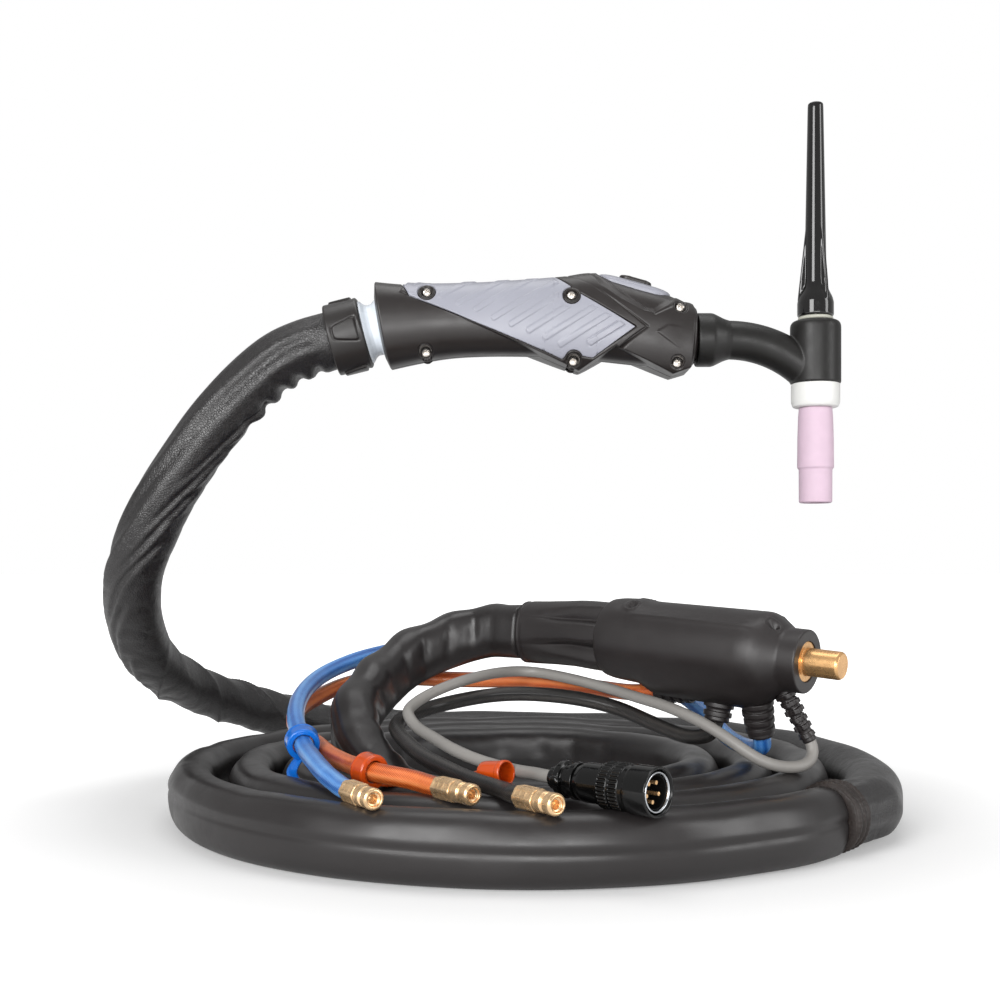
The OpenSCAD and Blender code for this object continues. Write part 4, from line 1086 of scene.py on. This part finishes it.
HEAD_R, HEAD_SEG, CROSS_TURN = 2.05, 72, 0.35
pits, heads = [], []
a = circle(48)
for sx, sz in screws:
    lip = np.array([side_y(sx + 3.62 * math.cos(q), sz + 3.62 * math.sin(q)) for q in a])
    for _ in range(3):
        lip = 0.25 * np.roll(lip, 1) + 0.5 * lip + 0.25 * np.roll(lip, -1)
    sy = float(lip.mean()) - 1.2
    bottom = 0 * lip + (sy - 1.1)
    rows = ((3.66, lip - 0.9), (3.6, lip - 0.1), (3.45, lip + 0.12), (3.2, lip + 0.16),
            (3.0, lip + 0.02), (2.9, lip - 0.4), (2.8, bottom + 0.2), (2.6, bottom),
            (0.02, bottom))
    for side in (-1, 1):
        v = [np.stack([sx + r * np.cos(a), side * y, collar_z + sz + r * np.sin(a)], 1)
             for r, y in rows]
        pits.append(finish_object("pit", v, grid_faces(len(v), len(a), flip=side < 0),
                                  "shell_black"))
    # cross-head screw, its recess cut by a height field
    rr = np.linspace(0.02, HEAD_R, 26)[:, None]
    q = circle(HEAD_SEG)[None, :] + CROSS_TURN
    cx, cz = polar(rr, q)
    u, w = (np.abs(c) for c in rotated(cx, cz, CROSS_TURN))
    arm = np.maximum(np.minimum(0.42 - u, 1.25 - w), np.minimum(0.42 - w, 1.25 - u))
    dome = 0.55 * (1 - (rr / HEAD_R) ** 2) ** 0.6 + 0 * q
    face = sy - 0.35 + dome - 0.95 * smoothstep(-0.06, 0.14, arm)
    v = np.stack([sx + cx, -face, collar_z + sz + cz], -1)
    skirt = v[-1:].copy()
    skirt[..., 1] = 1.3 - sy
    v = np.concatenate([v, skirt])
    heads.append(finish_object("head", v, grid_faces(len(v), HEAD_SEG), "screw_steel"))
join("screw_pits", pits, "shell_black", "handset")
stand_in(fix_normals(join("cross_head_screws", heads, "screw_steel", "handset")), "handle_screws")

# ------------ trigger

TRIGGER_SEG = 96
trigger_at = vec(-90.6, 0, collar_z + 27.8)
slope = math.radians(15.5)
trigger_axes = np.array([[math.cos(slope), 0, -math.sin(slope)], [0, 1, 0],
                         [math.sin(slope), 0, math.cos(slope)]])


def stadium_rings(length, width, rings):
    """Rings of a stadium from pairs of inset and height, as local points."""
    out = []
    a = circle(TRIGGER_SEG)
    for inset, h in rings:
        x, y = polar(width / 2 - inset, a)
        x = x + np.sign(np.cos(a)) * (length - width) / 2
        out.append(np.stack([x, y, h(x, y) if callable(h) else 0 * x + h], 1))
    return out


def trigger_piece(name, node, rings, body, closed):
    v = np.array(rings)
    tx, ty, tz = trigger_axes
    placed = trigger_at + v[..., 0:1] * tx + v[..., 1:2] * ty + v[..., 2:3] * tz
    faces = grid_faces(len(v), TRIGGER_SEG, flip=True)
    if closed:
        faces += end_faces(len(v), TRIGGER_SEG, flip=True)
    ob = finish_object(name, placed, faces, slot_of[node], body, weighted=closed)
    stand_in(fix_normals(ob), node)


def droop(h):
    return lambda x, y: h - 0.022 * y * y - 0.0022 * x * x


def pad(x, y):
    return 2.9 - 0.016 * y * y - 0.004 * x * x \
        + 0.16 * np.sin(x * 2 * PI / 2.2) * (np.abs(x) < 5.5)


trigger_piece("trigger_bezel", "switch_bezel", stadium_rings(37.5, 19.0, [
    (0.3, droop(-2.4)), (0.0, droop(-0.5)), (0.12, droop(0.1)), (0.5, droop(0.42)),
    (1.2, droop(0.75)), (2.4, droop(1.0)), (3.6, droop(1.1)), (4.3, droop(1.05))])
    + stadium_rings(17.2, 10.2, [
        (-0.9, droop(1.05)), (-0.35, droop(1.0)), (-0.1, droop(0.85)), (0.0, droop(0.4)),
        (0.0, droop(-3.0))]), "handset", closed=False)
trigger_piece("trigger_button", "switch_button", stadium_rings(16.6, 9.6, [
    (0.0, -2.6), (0.0, 0.9), (0.12, 1.1), (0.0, 1.3), (0.05, 2.0), (0.35, 2.45),
    (0.8, lambda x, y: pad(x, y) - 0.12), (1.3, pad), (2.4, pad), (3.4, pad), (4.3, pad),
    (4.75, pad)]), "trigger", closed=True)

# ------------ head, neck, cap and cup

HEAD_Z, HEAD_TOP = 53.5, 85.0
BARREL_R, NECK_R, COLLAR_R = 12.5, 9.6, 13.3
COLLAR_X, BEND_R = -44, 58
CUP_Z, CAP_Z = -6.0, HEAD_TOP + 2.1
FIN_W = 0.9
slot = slot_of["head_body"]


def lifted(profile, dz):
    return [(q[0], dz + q[1], *q[2:]) for q in profile]


barrel = lathe("barrel", [(0.3, HEAD_Z + 0.02), (BARREL_R, HEAD_Z + 0.02, 0.7),
    (BARREL_R, HEAD_TOP + 0.02, 3.6), (0.3, HEAD_TOP + 0.02)], ORIGIN, UP, slot, cuts=8)
# the neck's arc ends inside the barrel
turn = math.asin((0.3 - BARREL_R - COLLAR_X) / (BEND_R - NECK_R))
arc = [[COLLAR_X + BEND_R * math.sin(turn * k), 0,
        collar_z - BEND_R + BEND_R * math.cos(turn * k)] for k in np.linspace(0, 1, 60)]
neck = tube("neck", resample(np.array(arc), 0.8), lambda s, a: polar(NECK_R + 0 * s, a), 72,
            slot, floor=False)
collar = lathe("collar", [(0.3, -1), (9.7, -0.5), (10.4, 2.0, 1.5),
    (COLLAR_R - 0.9, 6.0, 2.4), (COLLAR_R, 8.0, 1.6), (COLLAR_R, 16, 0.6), (10.4, 16, 0.3),
    (10.4, 20), (0.3, 20)], (COLLAR_X, 0, collar_z), (-1, 0, 0), slot, edge=0.6, cuts=6)
head = join("head_moulding", [barrel, neck, collar], slot, "handset")
rem = head.modifiers.new("Remesh", "REMESH")
rem.mode = "VOXEL"
rem.voxel_size = 0.00042
rem.use_smooth_shade = True
sm = head.modifiers.new("Smooth", "SMOOTH")
sm.factor = 0.5
sm.iterations = 8
evaluate(head, slot)
stand_in(head, "head_body")

turned("insulator", "head_insulator", [(6.7, 41.6), (9.4, 41.55, 0.3), (11.2, 41.9, 1.0),
    (12.0, 44.2, 1.4), (12.0, 53.45, 0.5), (6.7, 53.45)], ORIGIN, UP, "cup_seat", cuts=6,
    caps=False)
turned("ceramic_cup", "gas_nozzle", lifted([(6.3, 46), (6.3, 0, 0.5), (7.6, 0, 0.5),
    (8.15, 0.55, 0.4), (8.2, 16.7, 0.5), (9.0, 17.6, 0.5), (8.85, 32), (8.5, 43.5, 1.5),
    (8.1, 47.5, 0.5), (6.3, 47.5, 0.4), (6.3, 46)], CUP_Z),
    ORIGIN, UP, "cup", edge=0.4, cuts=5, caps=False, step=2.0)
turned("cap_seal_ring", "cap_oring",
       [(7.65 + math.cos(t), 86.05 + math.sin(t)) for t in circle(20)],
       ORIGIN, UP, "cap_seal", edge=0, closed=True)


def fins(r, z, a):
    # three fins run up from the bulge, and fade into the stem
    h = z - CAP_Z
    across = r * np.abs(turn_gap(3 * (a - PI), 0) / 3)
    top = 8.9 + (4.7 - 8.9) * np.clip((h - 8.0) / 38.0, 0, 1)
    blend = smoothstep(FIN_W + 0.5, FIN_W - 0.3, across) * smoothstep(7.6, 8.6, h) \
        * (1 - smoothstep(44, 47, h))
    return np.maximum(r, r + (top - r) * blend)


turned("long_back_cap", "back_cap", lifted([(5.3, -9), (5.3, -0.3, 0.2), (8.5, 0, 0.3),
    (8.95, 0.7, 0.5), (8.95, 7.0, 0.8), (8.3, 9.6, 1.6), (6.9, 12.4, 2), (5.9, 14.6, 2),
    (5.45, 17, 3), (4.9, 48, 2), (4.4, 75, 2), (3.85, 104.6, 1.2), (3.7, 106.4, 0.8),
    (2.5, 107, 0.5), (0.3, 107)], CAP_Z), ORIGIN, UP, "cap", cuts=6, seg=144, mod=fins,
    step=1.2)

# ------------ boot, sleeve, current plug

BELLY_R, BELLY_DROP, BLEND = 17.5, 8.0, 3.0
boot_at = over_floor(boot_rear)


def boot_mod(r, z, a):
    # a = 0 points down in the boot's own frame, pi is the top
    # the belly is a second cylinder with round ends, hung below the first
    past = np.maximum(np.maximum(46 - z, z - 89), 0)
    rb = np.sqrt(np.clip(BELLY_R ** 2 - past ** 2, 0, None))
    e = np.cos(a) * BELLY_DROP
    disc = e * e - BELLY_DROP * BELLY_DROP + rb * rb
    t = np.where((disc > 0) & (rb > 7.0), e + np.sqrt(np.clip(disc, 0, None)), 0)
    h = np.clip(0.5 + 0.5 * (t - r) / BLEND, 0, 1)
    body = (r > 12) & (z > 20) & (z < 112)
    out = np.where(body, r + (t - r) * h + BLEND * h * (1 - h) * (t > 5), r)
    # flat facet over the upper third, with its crease on both sides
    mid = between(26, 40, 92, 102, z)
    for crease in (PI - 0.85, PI + 0.85):
        out = out + 0.7 * mid * bell(turn_gap(a, crease), 0.09)
    out = out - 0.9 * mid * bell(turn_gap(a, PI), 0.65)
    # pinched dimples near both ends of the top
    for at_z, at_a, size, depth in ((29.5, PI - 0.28, 3.0, 2.2), (105.0, PI - 0.5, 2.8, 3.4),
                                    (29.5, PI + 0.5, 3.0, 2.2), (105.0, PI + 0.5, 2.8, 3.4)):
        q = np.hypot(z - at_z, turn_gap(a, at_a) * 18)
        out = out - body * depth * bell(q, size * 0.62) \
            + body * 0.55 * bell(q - size * 1.15, 0.9)
    # a soft pucker runs down from the rear one
    q = np.abs((z - 29.5) + 6.5 * turn_gap(a, PI - 0.28))
    return out + body * 0.8 * bell(q, 2.0) * bell(turn_gap(a, PI - 0.85), 0.42) * (z < 50)


boot = turned("rubber_boot", "plug_boot", [(0.3, 12.0), (16.2, 12.0, 1.2),
    (19.4, 13.4, 2.6), (20.4, 19.0, 3), (21.2, 34), (22.0, 94, 3), (21.0, 101.0, 4),
    (16.2, 107.6, 3), (14.8, 109.6, 1.5), (14.8, BOOT, 0.9), (9.5, BOOT, 0.25),
    (9.45, 116.2)], boot_at, boot_dir, edge=0.8, cuts=8, seg=192, mod=boot_mod, caps=False,
    step=1.0)

# the sleeve goes from inside the boot's rim back to the hose
sleeve_start, sleeve_bend = boot_at + 17 * boot_dir, boot_at + 3 * sleeve_dir
sleeve_path = smooth_path(np.vstack([
    [sleeve_start + (sleeve_bend - sleeve_start) * t for t in np.arange(24) / 24],
    [boot_at + sleeve_dir * (3 + 37 * t) for t in np.linspace(0, 1, 40)]]), 12)
SLEEVE, RIM_R = 57.0, 17.2


def sleeve_section(s, a):
    t = s / SLEEVE
    k = oval(a, RIM_R + (12.3 - RIM_R) * smoothstep(0, 1, t),
             RIM_R + (15.6 - RIM_R) * smoothstep(0, 1, t), 2.3)
    # wedge-shaped folds that narrow towards the hose
    folds = np.clip(1.25 * np.abs(np.cos(3 * a + 0.35)) ** (0.35 + 0.9 * (1 - t)), 0, 1)
    depth = 5.0 * (1 - smoothstep(0.3, 0.92, t)) + 0.3
    return polar(k + 0.9 - depth * (1 - folds) - 0.5 * bell((t - 0.97) * SLEEVE, 1.2), a)


neck_sleeve = swept("boot_sleeve", ["boot_neck_sleeve"], sleeve_path, sleeve_section, 128,
                    floor=False)
pin = turned("brass_pin", "current_plug", [(4, -14), (8, -14), (8, -4.1),
    (9.35, -4.05, 0.2), (9.35, -0.5, 0.35), (7.2, -0.35, 0.3), (6.5, -0.2, 0.2),
    (6.5, 15.9, 0.3), (5.7, 17.0, 0.25), (0.5, 17.0)],
    over_floor(boot_rear + BOOT * boot_dir), boot_dir)

# ------------ strain reliefs

for key, r0, r1, ribs, slots in (("red", 7.4, 6.0, 4, 0), ("blue", 8.4, 6.8, 5, 0),
                                 ("gas", 8.4, 6.6, 4, 0), ("cable", 5.4, 3.9, 6, 4)):
    root, tip = over_floor(relief_at[key])
    l = np.linalg.norm(tip - root)
    prof = [(0.5, -6), (r0 - 0.9, -6)]
    for i in range(ribs):
        za, zb = l * (i + 0.25) / (ribs + 0.3), l * (i + 0.8) / (ribs + 0.3)
        ra = r0 + (r1 - r0) * (i + 0.5) / ribs
        prof += [(ra - 1.0, za - 0.25 * l / ribs, 0.3), (ra - 1.0, za - 0.02, 0.3),
                 (ra, za, 0.35), (ra, zb, 0.35), (ra - 1.0, zb + 0.02, 0.3)]
    prof += [(r1 - 0.5, l - 0.4, 0.4), (r1 - 0.9, l + 0.3, 0.2), (0.5, l + 0.3)]

    def cut(r, z, a):
        band = np.floor(z / l * (ribs + 0.3))
        gap = smoothstep(0.55, 0.8, np.abs(np.sin(slots / 2 * a + band * PI / 2)))
        return r - 0.9 * gap * (z > 2) * (z < l - 3) * (r > 3.4)

    turned(key + "_strain_relief", key + "_relief", prof, root, tip - root,
                          cuts=3, seg=72, mod=cut if slots else None)

# ------------ couplings


def crimp(r, z, a):
    # a hexagon with three bands of pressed pads, one to each flat
    flat = np.minimum(4.5 / np.maximum(np.cos(turn_gap(6 * a, 0) / 6), 0.86), 4.85)
    across = smoothstep(0.62, 0.8, np.abs(np.cos(3 * a)))
    pads = sum(smoothstep(1.45, 1.1, np.abs(z - band)) for band in (2.4, 5.8, 9.2))
    return np.where(r > 4.0, flat - 0.32 * across * pads, r)


FERRULE = 12
ferrule_prof = [(3.2, 0.15), (4.3, 0.0, 0.3), (4.7, 0.5, 0.3), (4.7, 11.6, 0.4),
    (4.1, FERRULE, 0.2), (2.2, FERRULE)]
nipple_prof = [(1.8, 1.0), (1.8, 0.0), (4.45, 0.0, 0.35), (4.45, 1.6, 0.3),
    (4.3, 2.2, 0.3), (4.3, 4.9, 0.5), (3.35, 5.3, 0.25), (3.35, 6.5, 0.25), (4.1, 6.9, 0.3),
    (4.4, 7.2, 0.3), (4.4, 10.8, 0.5), (3.7, 11.5, 0.35), (3.0, 11.5, 0.25), (2.7, 10.5, 0.2),
    (1.9, 10.3, 0.2), (1.8, 1.5)]
fittings = {}
for key in ("red", "blue", "gas"):
    end, d = end_at[key]
    fittings[key] = [
        turned(key + "_crimp_ferrule", key + "_ferrule", ferrule_prof, over_floor(end), d,
               mod=crimp, step=0.35),
        turned(key + "_nipple_turned", key + "_nipple", nipple_prof,
               over_floor(end + FERRULE * d), d, seg=80)]

# ------------ dust caps

keeper_prof = [(4.85, -3.0), (4.85, -3.9, 0.3), (5.35, -4.2, 0.3), (7.4, -4.1, 0.6),
    (7.95, -2.9, 0.5), (7.6, -1.8, 0.4), (7.55, 2.4, 0.6), (7.6, 3.4, 0.6), (7.1, 4.1, 0.4),
    (5.25, 4.2, 0.3), (4.85, 3.8, 0.3), (4.85, -3.0)]
cap_prof = [(0.3, 0.0), (4.0, 0.0, 1.0), (4.9, 0.9, 0.8), (5.15, 3.0, 1),
    (5.25, 11.2, 0.3), (5.6, 11.7, 0.3), (5.6, 13.4, 0.4), (5.3, 14.0, 0.3), (4.62, 13.9, 0.2),
    (4.6, 2.2), (0.3, 2.0)]
# the keeper ring sits on its hose at point i of the route; the strap leads from it to the cap
for key, i, strap, cap_at, cap_dir in (
        ("red", 13, [[-209, -85, 28.8], [-197, -84, 28.4], [-184, -86, 28.4], [-174, -87, 31]],
         vec(-160, -96.5, 35.6), unit([16, -15, 2])),
        ("blue", 12, [[-252, -61, 31], [-248, -69.5, 27.4], [-240, -74, 25.4],
                      [-234, -75.5, 25]], vec(-224, -81, 25.2), unit([14, -11, 0]))):
    slot = slot_of[key + "_cap_ring"]
    rt = np.array(routes[key], float)
    d = unit(rt[i + 1] - rt[i - 1])
    down = unit(np.cross(np.cross(d, [0, 0, 1.0]), d))
    keeper = lathe("ring", keeper_prof, over_floor(rt[i]), d, slot, cuts=5, seg=72, caps=False)
    back = cap_at - 7.3 * cap_dir
    pts = resample(over_floor(catmull(np.vstack([
        [rt[i] - 5.9 * down], strap, [back - 4 * cap_dir], [back]]), 10)), 1.0)
    total = lengths(pts)[-1]

    def flat(s, a):
        return polar(oval(a, 2.4 + 0.5 * bell(s, 6) + 0.5 * bell(s - total, 6), 0.7, 5.0), a)

    band = tube("strap", pts, flat, 32, slot, floor=False)
    fittings[key] += [
        stand_in(join(key + "_keeper_and_strap", [keeper, band], slot, "hose_pack"),
                 key + "_cap_ring"),
        turned(key + "_cap_moulded", key + "_dust_cap", cap_prof,
               over_floor(cap_at) - 7.0 * cap_dir, cap_dir, edge=0.4, cuts=5, seg=72)]

# ------------ control plug

plug_end, plug_dir = end_at["cable"]
plug_at = over_floor(plug_end)
RING_Z = 28.3


def knurl(r, z, a):
    h = z - RING_Z
    on = ((h > 1.4) & (h < 5.6)) | ((h > 6.9) & (h < 11.1))
    k = np.clip(np.sin(36 * a) * 1.6, -1, 1)
    return np.where(on & (r > 9.0), r - 0.32 + 0.32 * k, r)


def plug_piece(name, node, prof, body="hose_pack", **shape):
    return turned(name, node, prof, plug_at, plug_dir, body, edge=0.35, **shape)


plug = [
    plug_piece("cable_gland", "plug_gland", [(2.8, 0.0), (4.3, 0.0, 0.5), (4.7, 1.0, 0.3),
        (5.1, 4.8, 0.3), (0.5, 5.0)],
        mod=lambda r, z, a: r - 0.25 * (np.abs(np.sin(5 * a)) < 0.25) * (r > 4)),
    plug_piece("cable_clamp", "plug_clamp", [(0.5, 5.0), (7.0, 5.0, 0.6), (7.6, 5.7, 0.4),
        (7.6, 8.2, 0.4), (6.4, 8.6, 0.3), (6.4, 11.9, 0.3), (7.6, 12.3, 0.4),
        (7.6, 15.0, 0.3), (0.5, 15.0)]),
    plug_piece("plug_backshell", "plug_barrel", [(0.5, 15.0), (6.9, 15.0, 0.5),
        (7.3, 16.2, 1), (8.0, 18.4, 1.5), (8.0, 28.0, 0.3), (7.0, 28.0, 0.2), (7.0, 38.6),
        (0.5, 38.7)]),
    plug_piece("locking_ring", "plug_ring", lifted([(7.1, 8), (7.1, 0, 0.3), (9.3, 0, 0.4),
        (9.3, 1.2, 0.2), (9.75, 1.5, 0.25), (9.75, 5.5, 0.25), (9.25, 5.8, 0.2),
        (9.25, 6.7, 0.2), (9.75, 7.0, 0.25), (9.75, 11.0, 0.25), (9.3, 11.3, 0.3),
        (9.3, 13.6, 0.3), (9.8, 14.2, 0.4), (9.8, 24.7, 0.6), (8.9, 24.7, 0.4),
        (8.35, 23.6, 0.3), (8.1, 12)], RING_Z), "plug_lock", seg=288, mod=knurl, step=0.5),
    plug_piece("keyed_shell", "plug_shell", [(7.0, 42.0), (7.0, 52.0, 0.3), (7.35, 52.5, 0.2),
        (7.75, 52.5, 0.2), (8.0, 52.1, 0.3), (8.0, 40.2, 0.2), (7.0, 40.2)]),
    plug_piece("pin_carrier", "plug_insert", [(0.4, 39.1), (6.9, 39.1), (6.9, 51.3, 0.2),
        (6.45, 51.4, 0.2), (6.35, 43.6, 0.3), (0.4, 43.4)])]

# the two screws of the cable clamp
_, py, pz = axes_of(plug_dir)
ears = [lathe("ear", [(0.2, -1.2), (2.3, -1.2, 0.4), (2.5, -0.6, 0.4), (2.5, 0.8, 0.5),
    (1.6, 1.5, 0.4), (0.2, 1.5)], plug_at - 7.2 * side * py + 6.9 * pz, -side * py,
    "plug_black", seg=40) for side in (-1, 1)]
plug += [join("clamp_screws", ears, "plug_black", "hose_pack"), nodes["plug_pins"]]

# ------------ floor, world and lamps

me = bpy.data.meshes.new("floor")
me.from_pydata([(-12, -3, 0), (12, -3, 0), (12, 30, 0), (-12, 30, 0)], [], [(0, 1, 2, 3)])
floor_ob = new_object("floor", me)
floor_ob.location = (-0.15, 0, FLOOR * MM - 0.0002)
m = Nodes(bpy.data.materials.new("studio_floor"))
ray = m.new("LightPath")
seen = m.seen(ray, ray["Is Glossy Ray"])
patches = m.noise(3.0, 2)
pale = m.ramp(patches, [(0.3, grey(0.86)), (0.7, grey(0.9))])
paper = m.ramp(patches, [(0.3, grey(0.7)), (0.7, grey(0.73))])
# the paper stays white to the horizon, and keeps the shadow round the object
away = m.new("VectorMath", {0: m.coord()}, operation="LENGTH")["Value"]
glow = m.remap(away, 0.23, 1.2, 0.16, 0.6)
dim = m.math("SUBTRACT", seen, m.mul(ray["Is Glossy Ray"], 0.6))
m.put(m.bsdf, {"Roughness": 0.7, "Specular IOR Level": 0.1,
               "Base Color": m.mix(seen, pale, paper), "Emission Color": grey(1),
               "Emission Strength": m.mul(dim, glow)})
me.materials.append(m.mat)

scene.world = bpy.data.worlds.new("studio")
m = Nodes(scene.world, "Background")
ray = m.new("LightPath")
# black pieces reflect a dimmer room, so that they stay black
seen = m.seen(ray, m.mul(ray["Is Glossy Ray"], 0.3))
m.put(m.bsdf, {"Color": grey(1), "Strength": m.remap(seen, 0.24, 1.0, 0.0, 1.0)})


def lamp(name, loc, target, size, size_y, power):
    light = bpy.data.lights.new(name, "AREA")
    light.shape = "RECTANGLE"
    light.size, light.size_y = size, size_y
    light.energy = power
    ob = new_object(name, light)
    ob.location = loc
    ob.rotation_euler = (Vector(target) - Vector(loc)).to_track_quat("-Z", "Y").to_euler()


mid = (-0.16, 0.0, -0.05)
lamp("key", (-0.85, -1.1, 0.35), mid, 0.6, 0.8, 12.5)
lamp("front", (-0.1, -1.4, 0.1), (-0.16, 0, -0.12), 0.9, 0.35, 8)
lamp("top", (-0.1, 0.15, 1.3), mid, 1.2, 0.8, 6.5)
lamp("right", (1.1, -0.6, 0.3), mid, 0.4, 0.9, 5.5)

scene.view_settings.view_transform = "Standard"
